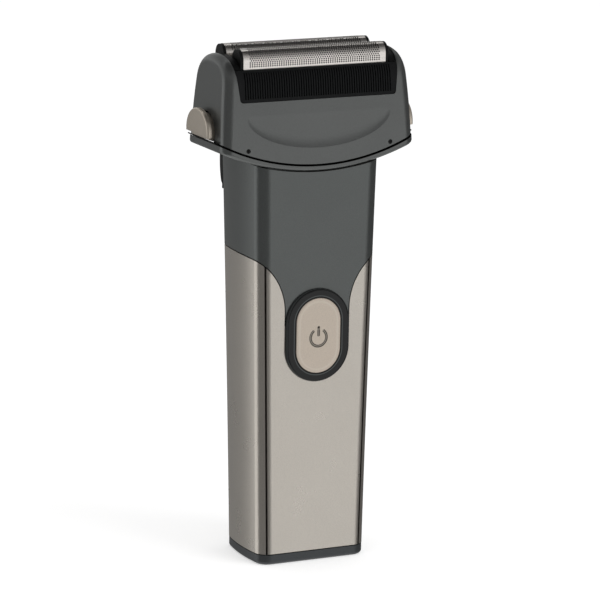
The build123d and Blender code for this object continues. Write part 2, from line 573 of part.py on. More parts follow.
def battery_tabs():
    rear = CELL_Y + CELL_R - TAB_SHORT
    low = block(span(0, TAB_W), (CELL_Y - CELL_R, rear), (CELL_Z - TAB_T, CELL_Z))
    return Compound([low, Pos(0, 0, CELL_H + TAB_T) * low])


def circuit_board():
    return block((-BOARD_HALF, BOARD_HALF), (BOARD_BACK - BOARD_T, BOARD_BACK), (BOARD_LOW, BOARD_HIGH))


def board_parts():
    """Charging coil, controller and capacitors on the board's front."""
    face = BOARD_BACK - BOARD_T
    chips = [block(span(x, width), (face - thick, face), span(BOARD_LOW + up, height))
             for x, up, width, height, thick in CHIPS]
    return Compound(chips)


def tact_switch():
    """Switch on the board, a little further in than the button's stud travels."""
    front = -half_depth(POWER_Z) - STUD_END + POWER_TRAVEL + SWITCH_GAP
    return block(span(0, SWITCH_W), (front, BOARD_BACK - BOARD_T), span(POWER_Z, SWITCH_W))


def charge_inlet():
    floor = INLET_LOW + INLET_DEPTH
    housing = block(span(0, INLET_W), span(0, INLET_D), (INLET_LOW, floor + INLET_FLOOR))
    housing -= rod((0, 0, 0), (0, 0, 1), INLET_R, floor)
    return housing - rod((0, 0, 0), (0, 0, 1), CONTACT_R, floor + INLET_FLOOR)


def inlet_contact():
    length = INLET_DEPTH + INLET_FLOOR - CONTACT_SUNK
    return rod((0, 0, INLET_LOW + CONTACT_SUNK), (0, 0, 1), CONTACT_R, length)


def motor_form(radius, flat, low, high):
    """Round motor section with two flats, front and back."""
    form = rod((0, MOTOR_Y, low), (0, 0, 1), radius, high - low)
    return form & block((-radius, radius), (MOTOR_Y - flat, MOTOR_Y + flat), (low, high))


def motor_can():
    can = motor_form(MOTOR_R, MOTOR_FLAT, MOTOR_LOW, MOTOR_TOP)
    can -= motor_form(MOTOR_R - MOTOR_WALL, MOTOR_FLAT - MOTOR_WALL, MOTOR_LOW, MOTOR_TOP - MOTOR_FACE)
    can -= rod((0, MOTOR_Y, MOTOR_LOW), (0, 0, 1), BEARING_R, FORM_H)
    for x in (-MOTOR_SCREW_X, MOTOR_SCREW_X):
        can -= rod((x, MOTOR_Y, MOTOR_LOW), (0, 0, 1), SCREW_R + SCREW_GAP, FORM_H)
    return can


def motor_magnets():
    """Two curved magnets in the can's round sides."""
    radius = MOTOR_R - MOTOR_WALL
    low, high = MOTOR_LOW + MAGNET_END, MOTOR_TOP - MOTOR_FACE - MAGNET_END
    ring = tube((0, MOTOR_Y, low), (0, 0, 1), radius, radius - MAGNET_T, high - low)
    sides = ring & block((CORE_R / 2, radius), span(MOTOR_Y, 2 * (MOTOR_FLAT - MOTOR_WALL)), (low, high))
    return Compound([sides, mirror(sides, about=Plane.YZ)])


def motor_core():
    low, high = MOTOR_LOW + CORE_END, MOTOR_TOP - MOTOR_FACE - CORE_END
    return tube((0, MOTOR_Y, low), (0, 0, 1), CORE_R, SHAFT_R, high - low)


def motor_end_cap():
    cap = motor_form(MOTOR_R, MOTOR_FLAT, MOTOR_LOW - END_CAP_H, MOTOR_LOW)
    seat = MOTOR_LOW - SHAFT_DEEP - SHAFT_TIP
    return cap - rod((0, MOTOR_Y, seat), (0, 0, 1), SHAFT_R + SHAFT_GAP, END_CAP_H)


def motor_bearing():
    low = MOTOR_TOP - MOTOR_FACE
    return tube((0, MOTOR_Y, low), (0, 0, 1), BEARING_R, SHAFT_R + SHAFT_GAP, BEARING_H)


def motor_bracket():
    plate = handle(WALL + CHASSIS_GAP, MOTOR_TOP, MOTOR_TOP + BRACKET_T)
    plate -= rod((0, MOTOR_Y, MOTOR_TOP - 1), (0, 0, 1), BEARING_R + FIT, BRACKET_T + 2)
    for x in (-MOTOR_SCREW_X, MOTOR_SCREW_X):
        plate -= rod((x, MOTOR_Y, MOTOR_TOP - 1), (0, 0, 1), SCREW_R + SCREW_GAP, BRACKET_T + 2)
    return plate


def screw(head, direction, shank_r, head_r, head_t, length):
    """Pan-head screw: head points at the driver, direction is the way it goes in."""
    shank = rod(head, direction, shank_r, head_t + length)
    body = rod(head, direction, head_r, head_t) + shank
    cross = Box(head_r * 1.3, head_r * 0.3, head_t, align=CENTRED_LOW)
    cross += Box(head_r * 0.3, head_r * 1.3, head_t, align=CENTRED_LOW)
    return body - Plane(head, z_dir=direction) * Pos(0, 0, -head_t / 2) * cross


def cap_screws():
    return Compound([screw((x, 0, CAP_SCREW_LOW), (0, 0, 1), SCREW_R, SCREW_HEAD_R, SCREW_HEAD_T,
                           CAP_SCREW_L)
                     for x in (-CAP_SCREW_X, CAP_SCREW_X)])


def motor_screws():
    top = MOTOR_TOP + BRACKET_T + SCREW_HEAD_T
    length = BRACKET_T + MOTOR_FACE + MOTOR_SCREW_PAST
    return Compound([screw((x, MOTOR_Y, top), (0, 0, -1), SCREW_R, SCREW_HEAD_R, SCREW_HEAD_T, length)
                     for x in (-MOTOR_SCREW_X, MOTOR_SCREW_X)])


# ---------------------------------------------------------------- drive
def motor_shaft():
    low = MOTOR_LOW - SHAFT_DEEP
    return rod((0, MOTOR_Y, low), (0, 0, 1), SHAFT_R, HUB_LOW + HUB_H / 2 - low)


def eccentric():
    hub = rod((0, MOTOR_Y, HUB_LOW), (0, 0, 1), HUB_R, HUB_H)
    hub += rod((THROW, MOTOR_Y, HUB_LOW + HUB_H), (0, 0, 1), PIN_R, BRIDGE_TOP - PIN_SHORT - HUB_LOW - HUB_H)
    return hub - rod((0, MOTOR_Y, HUB_LOW - 1), (0, 0, 1), SHAFT_R, HUB_H / 2 + 1)


def drive_bridge():
    outer = FOIL_PITCH / 2 + POST_Y / 2
    bridge = block((-BRIDGE_HALF, BRIDGE_HALF), (HEAD_Y - outer, HEAD_Y + outer), (BRIDGE_LOW, BRIDGE_TOP))
    sweep_y = 2 * (THROW + PIN_R + PIN_GAP)
    sweep_x = sweep_y + 2 * DRIVE_TRAVEL
    bridge -= block(span(0, sweep_x), span(MOTOR_Y, sweep_y), (BRIDGE_LOW - 1, BRIDGE_TOP + 1))
    for y in (FRONT_CREST, REAR_CREST):
        bridge += block(span(0, POST_X), span(y, POST_Y), (BRIDGE_TOP - 1, POST_TOP))
    return bridge


def bridge_leaves():
    """Leaf springs that carry the bridge, with the feet that they stand on."""
    foot_top = BRIDGE_LOW - FOOT_DROP
    width = span(HEAD_Y, 2 * LEAF_HALF_Y)
    leaf = block((BRIDGE_HALF, BRIDGE_HALF + LEAF_T), width, (foot_top - 1, BRIDGE_TOP))
    foot = block((BRIDGE_HALF, BRIDGE_HALF + FOOT_L), width, (SEAM_Z, foot_top)) & drum(COLLAR_DRUM)
    one = leaf + foot
    return Compound([one, mirror(one, about=Plane.YZ)])


def drive_seals():
    low = DECK_TOP + SEAL_GAP
    seals = []
    for y in (FRONT_CREST, REAR_CREST):
        seal = block((-SEAL_HALF, SEAL_HALF), span(y, SEAL_W), (low, low + SEAL_T))
        seals.append(seal - block(span(0, POST_X), span(y, POST_Y), (low - 1, low + SEAL_T + 1)))
    return Compound(seals)


def drive_deck():
    y0, y1 = HEAD_Y - DECK_HALF_Y, HEAD_Y + DECK_HALF_Y
    inner = DECK_HALF - DECK_WALL
    deck = block((-DECK_HALF, DECK_HALF), (y0, y1), (SEAM_Z - 5, DECK_TOP))
    deck -= block((-inner, inner), (y0 + DECK_WALL, y1 - DECK_WALL), (SEAM_Z - 6, DECK_TOP - DECK_WALL))
    boss = rod((DECK_HALF - STEM_BOSS_L, BUTTON_Y, STEM_Z), (1, 0, 0), STEM_BOSS_R, STEM_BOSS_L)
    boss &= block((0, DECK_HALF), (y0, y1), (0, DECK_TOP))
    deck += both_sides(boss)
    bore = rod((STEM_IN - PRESS - STEM_ROOM, BUTTON_Y, STEM_Z), (1, 0, 0), STEM_R + STEM_GAP, DECK_HALF)
    deck -= both_sides(bore)
    slot_x = POST_X / 2 + DRIVE_TRAVEL + SLOT_X
    slot_y = POST_Y / 2 + SLOT_Y
    for y in (FRONT_CREST, REAR_CREST):
        deck -= block((-slot_x, slot_x), (y - slot_y, y + slot_y), (DECK_TOP - DECK_WALL - 1, DECK_TOP + 1))
    return deck & drum(COLLAR_DRUM)


# ---------------------------------------------------------------- cutters and foils
def arch(radius, low, x0, x1, crest):
    """Solid arch section, half round on straight legs, along X."""
    dome = rod((x0, crest, ARCH_Z), (1, 0, 0), radius, x1 - x0)
    return dome + block((x0, x1), (crest - radius, crest + radius), (low, ARCH_Z))


def cutter_carrier(crest):
    spine = block((-CUTTER_HALF, CUTTER_HALF), span(crest, 2 * SPINE_HALF), (CUTTER_LOW, SPINE_TOP))
    hub = block((-HUB_HALF_X, HUB_HALF_X), span(crest, 2 * HUB_HALF_Y),
                (CUTTER_LOW, SPINE_TOP - HUB_DROP))
    roof = POST_TOP + FOIL_FLOAT + POST_ROOM
    room = 2 * SOCKET_GAP
    socket = block(span(0, POST_X + room), span(crest, POST_Y + room), (CUTTER_LOW - 1, roof))
    return spine + hub - socket


def cutter_blades(crest):
    radius = ARCH_R - FOIL_T - BLADE_GAP
    count = int(2 * (CUTTER_HALF - BLADE_T) / BLADE_PITCH) + 1
    first = -(count - 1) * BLADE_PITCH / 2 - BLADE_T / 2
    notch = block((-REACH, REACH), (crest - SPINE_HALF, crest + SPINE_HALF), (FOIL_LOW - 1, SPINE_TOP))
    blade = arch(radius, FOIL_LOW, first, first + BLADE_T, crest) - notch
    return Compound([Pos(i * BLADE_PITCH, 0, 0) * blade for i in range(count)])


def cutter_spring(crest):
    low = DECK_TOP + SEAL_GAP + SEAL_T
    return coil((0, crest, low), (0, 0, 1), SPRING_R, SPRING_WIRE, CUTTER_LOW - low, SPRING_TURNS)


def foil(crest):
    skin = arch(ARCH_R, FOIL_LOW, -FOIL_HALF, FOIL_HALF, crest)
    return skin - arch(ARCH_R - FOIL_T, FOIL_LOW - 1, -FOIL_HALF - 1, FOIL_HALF + 1, crest)


def foil_carrier(crest):
    outer = ARCH_R + CARRIER_PROUD
    end = FOIL_HALF + CARRIER_END
    cap = arch(ARCH_R - END_SUNK, CARRIER_LOW, FOIL_HALF, end, crest)
    cap += block((FOIL_HALF, end + HOOK_L), span(crest, 2 * HOOK_HALF), (CARRIER_LOW, CARRIER_LOW + HOOK_H))
    rail = block((-FOIL_HALF, FOIL_HALF), (crest - outer, crest + outer), (CARRIER_LOW, FOIL_LOW))
    inner = outer - CARRIER_T
    rail -= block((-FOIL_HALF, FOIL_HALF), (crest - inner, crest + inner), (CARRIER_LOW - 1, FOIL_LOW + 1))
    return both_sides(cap) + rail


# ---------------------------------------------------------------- head
def head_cover():
    cover = (head_form(0) & drum(COVER_DRUM)) - head_form(HEAD_WALL)
    opening = window(0, WINDOW_Z, HEAD_TOP + 5)
    cover -= fillet(window_corners(opening), WINDOW_R)
    floor = Plane((0, HEAD_Y - HEAD_D / 2 + DISH_DEPTH, DISH_Z), x_dir=(1, 0, 0), z_dir=(0, -1, 0))
    spread = cos(radians(DISH_TILT)) / sin(radians(DISH_TILT))
    inset, outset = -DISH_DEPTH * spread, (DISH_OUT - DISH_DEPTH) * spread
    scoop = loft([floor * Ellipse(DISH_HALF + inset, DISH_H + inset),
                  floor.offset(DISH_OUT) * Ellipse(DISH_HALF + outset, DISH_H + outset)], ruled=True)
    scoop = fillet(scoop.faces().sort_by(Axis.Y)[-1].edges(), DISH_R)
    cover -= scoop & block((-REACH, REACH), (-REACH, REACH), (0, DISH_Z))
    notch = both_sides(d_plate(NOTCH_GAP - STALK_IN, SEAM_Z, BLOCK_IN, REACH))
    cover -= notch
    return cover - head_screw_holes(HEAD_WALL)


def screw_seat():
    """Y of the front head screws' seats, in the cover's wall."""
    return HEAD_Y - HEAD_D / 2 + TINY_SUNK + TINY_HEAD_T + TINY_GAP


def head_screw_holes(depth):
    seat = screw_seat()
    hole = rod((HEAD_SCREW_X, seat, HEAD_SCREW_Z), (0, -1, 0), TINY_HEAD_R + TINY_GAP, HEAD_D / 2)
    hole += rod((HEAD_SCREW_X, seat + depth, HEAD_SCREW_Z), (0, -1, 0), TINY_R + TINY_GAP, depth + 1)
    holes = both_sides(hole)
    return holes + to_rear(holes)


def head_screws():
    front = screw((HEAD_SCREW_X, screw_seat() - TINY_HEAD_T, HEAD_SCREW_Z), (0, 1, 0),
                  TINY_R, TINY_HEAD_R, TINY_HEAD_T, TINY_L)
    pair = [front, mirror(front, about=Plane.YZ)]
    return Compound(pair + [to_rear(one) for one in pair])


def foil_frame():
    core = head_form(HEAD_WALL + FIT)
    pocket = FOIL_PITCH / 2 + POCKET_HALF
    end = core & block((POCKET_END, FRAME_HALF), (-REACH, REACH), (FRAME_LOW, HEAD_TOP))
    lip = head_form(FRAME_SUNK) & window(FIT, COMB_TOP + FIT, HEAD_TOP)
    lip &= block((POCKET_END, FRAME_HALF), (-REACH, REACH), (COMB_TOP, HEAD_TOP))
    inside = (-POCKET_END - FRAME_JOIN, POCKET_END + FRAME_JOIN)
    rail = core & block(inside, (-REACH, HEAD_Y - pocket), (FRAME_LOW, CARRIER_LOW + RAIL_UP))
    leg_x = (HEAD_SCREW_X - LEG_IN, HEAD_SCREW_X + LEG_OUT)
    leg = core & block(leg_x, (-REACH, HEAD_Y - DECK_HALF_Y - LEG_GAP), (SEAM_Z, FRAME_LOW + 1))
    leg &= drum(COVER_DRUM - LEG_GAP)
    bar = block(inside, (FRONT_CREST + POCKET_HALF, REAR_CREST - POCKET_HALF), 
                (CARRIER_LOW - MID_BAR_UNDER, COMB_TOP))
    frame = both_sides(end) + both_sides(lip) + rail + to_rear(rail) + bar
    legs = both_sides(leg)
    frame = frame + legs + to_rear(legs)
    for crest in (FRONT_CREST, REAR_CREST):
        slot_x, slot_y = 2 * (POCKET_END + HOOK_L), 2 * (HOOK_HALF + LEG_GAP)
        frame -= block(span(0, slot_x), span(crest, slot_y), (FRAME_LOW - 1, CARRIER_LOW + HOOK_H + LEG_GAP))
    return frame - head_screw_holes(TINY_L + TINY_TIP)


def comb_panel():
    """Ribbed panel in front of the front foil."""
    outer, inner = COMB_SUNK, HEAD_WALL + FIT / 2
    pocket = FOIL_PITCH / 2 + POCKET_HALF
    zone = window(FIT, WINDOW_Z + FIT, COMB_TOP)
    zone &= block((-REACH, REACH), (-REACH, HEAD_Y - pocket), (0, COMB_TOP))
    zone = fillet(window_corners(zone), WINDOW_R)
    panel = (head_form(outer) - head_form(inner)) & zone
    count = int(2 * (WINDOW_HALF - RIB_SIDE) / RIB_PITCH) + 1
    heights = (WINDOW_Z + RIB_UNDER, COMB_TOP - RIB_OVER)
    first = -(count - 1) * RIB_PITCH / 2
    grooves = [block(span(first + i * RIB_PITCH, RIB_GROOVE), (-REACH, HEAD_Y - pocket), heights)
               for i in range(count)]
    floor = head_form(outer + RIB_DEPTH)
    return panel - [groove - floor for groove in grooves]


# ---------------------------------------------------------------- release buttons
def release_button():
    face = d_plate(0, D_LOW, D_STEP, D_FACE)
    face = fillet(face.faces().sort_by(Axis.X)[-1].edges(), D_EDGE)
    button = face + d_plate(-STALK_IN, D_LOW - STALK_DROP, D_BACK, D_STEP)
    button += block((BLOCK_IN, D_BACK), span(BUTTON_Y, 2 * BLOCK_HALF), 
                    (D_LOW + BLOCK_UP, D_LOW + BLOCK_UP + BLOCK_H))
    return button + rod((STEM_IN, BUTTON_Y, STEM_Z), (1, 0, 0), STEM_R, BLOCK_IN - STEM_IN)


def release_spring():
    room = BLOCK_IN - DECK_HALF
    return coil((DECK_HALF, BUTTON_Y, STEM_Z), (1, 0, 0), RETURN_R, RETURN_WIRE, room, RETURN_TURNS)


# ---------------------------------------------------------------- trimmer
def flap_outline():
    bottom = (0, HINGE_Y, HINGE_Z - BARREL_R)
    inner = (0, HINGE_Y - BARREL_R, HINGE_Z)
    full = (0, FLAP_OUT, HINGE_Z + FLAP_FULL_UP)
    bend = (0, HINGE_Y - BARREL_R * cos(radians(45)), HINGE_Z - BARREL_R * sin(radians(45)))
    return [
        Line((0, FLAP_IN, FLAP_TOP), inner),
        ThreePointArc(inner, bend, bottom),
        ThreePointArc(bottom, (0, FLAP_OUT - FLAP_BELLY_IN, HINGE_Z + FLAP_BELLY_UP), full),
        Line(full, (0, FLAP_OUT, FLAP_TOP)),
        Line((0, FLAP_OUT, FLAP_TOP), (0, FLAP_IN, FLAP_TOP)),
    ]


def trimmer_flap():
    flap = slab(flap_outline(), (1, 0, 0)) & block((-FLAP_HALF, FLAP_HALF), (0, REACH), (0, FLAP_TOP))
    full_z = HINGE_Z + FLAP_FULL_UP
    outer = [e for e in flap.edges() if e.center().Y > FLAP_OUT - 0.1 and e.center().Z > full_z]
    flap = fillet(outer, FLAP_EDGE)
    ear = block((EAR_IN - EAR_GAP, EAR_OUT + EAR_GAP), (0, REACH), (0, HINGE_Z + EAR_SLOT_UP))
    flap -= both_sides(ear)
    return flap - rod((-REACH, HINGE_Y, HINGE_Z), (1, 0, 0), HINGE_R + HINGE_BORE, 2 * REACH)


def trimmer_pin():
    half = EAR_OUT + PIN_PAST
    return rod((-half, HINGE_Y, HINGE_Z), (1, 0, 0), HINGE_R, 2 * half)


def toothed_plate(half, y0, y1, low, top):
    plate = block((-half, half), (y0, y1), (low, top))
    count = int(2 * half / TOOTH_PITCH)
    first = -(count - 1) * TOOTH_PITCH / 2
    slots = [block(span(first + i * TOOTH_PITCH, TOOTH_SLOT), (y0 - 1, y1 + 1), (top - TOOTH_DEPTH, top + 1))
             for i in range(count)]
    return plate - slots


def trimmer_comb():
    return toothed_plate(TRIM_HALF, FLAP_IN - TRIM_T, FLAP_IN, TRIM_LOW, TRIM_TOP)


def trimmer_cutter():
    y1 = FLAP_IN - TRIM_T - TRIM_GAP
    return toothed_plate(TRIM_HALF - TRIM_TRAVEL, y1 - TRIM_T, y1, TRIM_LOW, TRIM_TOP - TRIM_SHORT)


# ---------------------------------------------------------------- the whole shaver
def pieces():
    right_button, right_spring, front_comb = release_button(), release_spring(), comb_panel()
    parts = {
        "bottom_cap": bottom_cap(), "rear_shell": rear_shell(), "front_panel": front_panel(),
        "upper_shell": upper_shell(), "collar": collar(), "button_bezel": button_bezel(),
        "power_button": power_button(), "power_symbol": power_symbol(), "button_boot": button_boot(),
        "chassis": chassis(), "battery": battery(), "battery_tabs": battery_tabs(),
        "circuit_board": circuit_board(), "board_parts": board_parts(), "tact_switch": tact_switch(),
        "charge_inlet": charge_inlet(), "inlet_contact": inlet_contact(),
        "motor_can": motor_can(), "motor_end_cap": motor_end_cap(), "motor_bearing": motor_bearing(),
        "motor_magnets": motor_magnets(), "motor_core": motor_core(),
        "motor_bracket": motor_bracket(), "cap_screws": cap_screws(), "motor_screws": motor_screws(),
        "motor_shaft": motor_shaft(), "eccentric": eccentric(), "drive_bridge": drive_bridge(),
        "bridge_leaves": bridge_leaves(), "drive_seals": drive_seals(), "drive_deck": drive_deck(),
        "head_cover": head_cover(), "head_screws": head_screws(), "foil_frame": foil_frame(),
        "front_comb": front_comb, "rear_comb": to_rear(front_comb),
        "right_release": right_button, "left_release": mirror(right_button, about=Plane.YZ),
        "right_release_spring": right_spring, "left_release_spring": mirror(right_spring, about=Plane.YZ),
        "trimmer_flap": trimmer_flap(), "trimmer_pin": trimmer_pin(),
        "trimmer_comb": trimmer_comb(), "trimmer_cutter": trimmer_cutter(),
    }
    for side, crest in (("front", FRONT_CREST), ("rear", REAR_CREST)):
        parts[f"{side}_foil"] = foil(crest)
        parts[f"{side}_foil_carrier"] = foil_carrier(crest)
        parts[f"{side}_cutter_carrier"] = cutter_carrier(crest)
        parts[f"{side}_cutter_blades"] = cutter_blades(crest)
        parts[f"{side}_cutter_spring"] = cutter_spring(crest)
    return parts


os.makedirs("parts", exist_ok=True)
for name, piece in pieces().items():
    export_step(piece, f"parts/{name}.step")
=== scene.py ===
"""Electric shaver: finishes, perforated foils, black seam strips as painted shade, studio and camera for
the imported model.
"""
import json
import logging
import math
from collections.abc import Callable
from dataclasses import dataclass

import bpy
from mathutils import Matrix, Vector


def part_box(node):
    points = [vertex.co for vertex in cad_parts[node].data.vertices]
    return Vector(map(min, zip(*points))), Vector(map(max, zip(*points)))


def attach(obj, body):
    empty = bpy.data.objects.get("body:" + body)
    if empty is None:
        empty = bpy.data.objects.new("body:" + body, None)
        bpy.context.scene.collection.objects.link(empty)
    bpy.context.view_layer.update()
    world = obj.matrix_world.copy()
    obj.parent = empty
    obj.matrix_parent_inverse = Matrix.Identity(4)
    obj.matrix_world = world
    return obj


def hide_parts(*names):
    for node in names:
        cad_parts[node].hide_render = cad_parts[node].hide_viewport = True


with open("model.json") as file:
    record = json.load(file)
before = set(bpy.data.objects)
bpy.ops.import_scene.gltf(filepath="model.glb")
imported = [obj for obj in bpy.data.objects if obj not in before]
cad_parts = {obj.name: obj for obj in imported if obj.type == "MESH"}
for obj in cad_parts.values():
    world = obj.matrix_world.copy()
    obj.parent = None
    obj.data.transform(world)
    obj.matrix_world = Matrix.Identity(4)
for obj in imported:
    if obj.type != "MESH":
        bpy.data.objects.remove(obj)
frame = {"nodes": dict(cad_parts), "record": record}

LOG = logging.getLogger("shaver")
MM = 0.001
NODES = {part["node"]: part["material_slot"] for part in frame["record"]["subparts"]}


# ---------------------------------------------------------------- materials
def srgb(red: int, green: int, blue: int) -> tuple[float, float, float, float]:
    """Turn an 8-bit display colour into a linear one.

    Args:
        red: Red, 0 to 255.
        green: Green, 0 to 255.
        blue: Blue, 0 to 255.

    Returns:
        Linear red, green, blue and full alpha.
    """
    def linear(value: int) -> float:
        """Undo the display curve for one channel."""
        share = value / 255
        return share / 12.92 if share <= 0.04045 else ((share + 0.055) / 1.055) ** 2.4
    return (linear(red), linear(green), linear(blue), 1.0)


class Wiring:
    """A short way to add and join nodes in one node tree."""

    def __init__(self, tree: bpy.types.NodeTree) -> None:
        """Keep the tree that is being wired.

        Args:
            tree: The material's or group's node tree.
        """
        self.tree = tree

    def add(self, kind: str, **settings: object) -> bpy.types.Node:
        """Add a node, set its properties and join its inputs.

        Args:
            kind: The node's type name.
            **settings: Properties by name; those that start with in_ are input values or sockets,
                with the input's name in lower case and underscores for spaces.

        Returns:
            The new node.
        """
        node = self.tree.nodes.new(kind)
        sockets = {key: value for key, value in settings.items() if key.startswith("in_")}
        for key, value in settings.items():
            if key not in sockets:
                setattr(node, key, value)
        for key, value in sockets.items():
            self.feed(node, key[3:], value)
        return node

    def feed(self, node: bpy.types.Node, name: str, value: object) -> None:
        """Join a socket to a node's input, or set the input's own value.

        Args:
            node: The node that takes the value.
            name: The input's name in lower case, or its number.
            value: A socket to join, or a constant.
        """
        if name.isdigit():
            socket = node.inputs[int(name)]
        else:
            socket = next(one for one in node.inputs if one.name.lower().replace(" ", "_") == name)
        if isinstance(value, bpy.types.NodeSocket):
            self.tree.links.new(value, socket)
        else:
            socket.default_value = value

    def maths(self, operation: str, first: object, second: object = 0.0,
              clamp: bool = False) -> bpy.types.NodeSocket:
        """Work out one sum.

        Args:
            operation: Blender's name for it.
            first: Left-hand socket or number.
            second: Right-hand socket or number.
            clamp: Keep the result from 0 to 1.

        Returns:
            The result's socket.
        """
        node = self.add("ShaderNodeMath", operation=operation, use_clamp=clamp, in_0=first, in_1=second)
        return node.outputs[0]


class Textures:
    """Shared surface effects, each a node group that is built once."""

    @staticmethod
    def group(name: str, inputs: dict[str, float], outputs: list[str],
              fill: Callable[[Wiring, bpy.types.Node, bpy.types.Node], None]) -> bpy.types.NodeTree:
        """Give a node group, and build it on first use.

        Args:
            name: The group's name.
            inputs: Number inputs and their starting values; a Vector input comes before them.
            outputs: Number outputs.
            fill: Wires the inside, given the wiring, the input node and the output node.

        Returns:
            The group.
        """
        made = bpy.data.node_groups.get(name)
        if made:
            return made
        tree = bpy.data.node_groups.new(name, "ShaderNodeTree")
        tree.interface.new_socket("Vector", in_out="INPUT", socket_type="NodeSocketVector")
        for label, value in inputs.items():
            socket = tree.interface.new_socket(label, in_out="INPUT", socket_type="NodeSocketFloat")
            socket.default_value = value
        for label in outputs:
            tree.interface.new_socket(label, in_out="OUTPUT", socket_type="NodeSocketFloat")
        wiring = Wiring(tree)
        fill(wiring, wiring.add("NodeGroupInput"), wiring.add("NodeGroupOutput"))
        return tree

    @classmethod
    def fleck(cls) -> bpy.types.NodeTree:
        """Fine flakes under lacquer, with a slow drift of tone."""
        def fill(wiring: Wiring, given: bpy.types.Node, result: bpy.types.Node) -> None:
            """Wire two noises, one fine and one slow."""
            turned = wiring.add("ShaderNodeVectorRotate", rotation_type="EULER_XYZ",
                                in_vector=given.outputs["Vector"], in_rotation=(0.7, 0.4, 0.9))
            fine = wiring.add("ShaderNodeTexNoise", in_vector=turned.outputs["Vector"],
                              in_scale=given.outputs["Scale"], in_detail=2.0, in_roughness=0.6)
            slow = wiring.add("ShaderNodeTexNoise", in_vector=given.outputs["Vector"],
                              in_scale=given.outputs["Drift"], in_detail=2.0, in_roughness=0.5)
            wiring.feed(result, "flake", fine.outputs[0])
            wiring.feed(result, "drift", slow.outputs[0])
        return cls.group("fleck", {"Scale": 5200.0, "Drift": 45.0}, ["Flake", "Drift"], fill)

    @classmethod
    def moulded(cls) -> bpy.types.NodeTree:
        """Spark-eroded mould texture: shallow pits of mixed size."""
        def fill(wiring: Wiring, given: bpy.types.Node, result: bpy.types.Node) -> None:
            """Wire cells and a noise into one height."""
            cells = wiring.add("ShaderNodeTexVoronoi", feature="SMOOTH_F1",
                               in_vector=given.outputs["Vector"], in_scale=given.outputs["Scale"],
                               in_smoothness=0.6)
            noise = wiring.add("ShaderNodeTexNoise", in_vector=given.outputs["Vector"],
                               in_scale=given.outputs["Scale"], in_detail=3.0, in_roughness=0.7)
            height = wiring.maths("ADD", cells.outputs["Distance"], noise.outputs[0])
            wiring.feed(result, "height", wiring.maths("MULTIPLY", height, 0.5))
            wiring.feed(result, "shade", noise.outputs[0])
        return cls.group("moulded", {"Scale": 3600.0}, ["Height", "Shade"], fill)

    @classmethod
    def brushed(cls) -> bpy.types.NodeTree:
        """Long fine scratches along X."""
        def fill(wiring: Wiring, given: bpy.types.Node, result: bpy.types.Node) -> None:
            """Stretch a noise along X."""
            stretch = wiring.add("ShaderNodeVectorMath", operation="MULTIPLY", in_0=given.outputs["Vector"],
                                 in_1=(0.02, 1.0, 1.0))
            noise = wiring.add("ShaderNodeTexNoise", in_vector=stretch.outputs[0],
                               in_scale=given.outputs["Scale"], in_detail=4.0, in_roughness=0.7)
            wiring.feed(result, "height", noise.outputs[0])
        return cls.group("brushed", {"Scale": 6000.0}, ["Height"], fill)

    @classmethod
    def slot(cls) -> bpy.types.NodeTree:
        """Distance from a slot-shaped outline in the XZ plane."""
        def fill(wiring: Wiring, given: bpy.types.Node, result: bpy.types.Node) -> None:
            """Measure from the slot's straight core, then take its radius off."""
            parts = wiring.add("ShaderNodeSeparateXYZ", in_vector=given.outputs["Vector"])
            offset = wiring.maths("SUBTRACT", parts.outputs["Z"], given.outputs["Centre"])
            rise = wiring.maths("ABSOLUTE", offset)
            over = wiring.maths("MAXIMUM", wiring.maths("SUBTRACT", rise, given.outputs["Half"]), 0.0)
            squares = wiring.maths("ADD", wiring.maths("POWER", over, 2.0),
                                   wiring.maths("POWER", wiring.maths("ABSOLUTE", parts.outputs["X"]), 2.0))
            reach = wiring.maths("SQRT", squares)
            wiring.feed(result, "distance", wiring.maths("SUBTRACT", reach, given.outputs["Radius"]))
        return cls.group("slot_outline", {"Centre": 0.0, "Half": 0.0, "Radius": 0.0}, ["Distance"], fill)

    @classmethod
    def smudge(cls) -> bpy.types.NodeTree:
        """Soft patches from handling, which change the gloss a little."""
        def fill(wiring: Wiring, given: bpy.types.Node, result: bpy.types.Node) -> None:
            """Bend a slow noise round a base roughness."""
            slow = wiring.add("ShaderNodeTexNoise", in_vector=given.outputs["Vector"],
                              in_scale=given.outputs["Scale"], in_detail=4.0, in_roughness=0.6)
            drift = wiring.maths("SUBTRACT", slow.outputs[0], 0.5)
            swing = wiring.maths("MULTIPLY", drift, given.outputs["Swing"])
            wiring.feed(result, "roughness", wiring.maths("ADD", given.outputs["Base"], swing, clamp=True))
        return cls.group("smudge", {"Scale": 60.0, "Base": 0.4, "Swing": 0.12}, ["Roughness"], fill)


@dataclass(frozen=True)
class Grain:
    """One kind of fine surface texture, and how strongly it changes colour and height.

    A scale of 0 keeps the group's own.
    """

    group: Callable[[], bpy.types.NodeTree]
    shade: str
    height: str
    tone: float
    relief_mm: float
    scale: float = 0.0


LACQUER = Grain(Textures.fleck, "Flake", "Flake", tone=0.10, relief_mm=0.004)
MOULDED = Grain(Textures.moulded, "Shade", "Height", tone=0.14, relief_mm=0.05)
BRUSHED = Grain(Textures.brushed, "Height", "Height", tone=0.12, relief_mm=0.02)
PLAIN = Grain(Textures.fleck, "Drift", "Flake", tone=0.06, relief_mm=0.01, scale=900.0)
TONE_LOW, TONE_HIGH = 0.3, 0.7


@dataclass(frozen=True)
class Outline:
    """An upright slot shape in the XZ plane, in mm: middle height, half the straight part, radius."""

    centre: float
    half: float
    radius: float


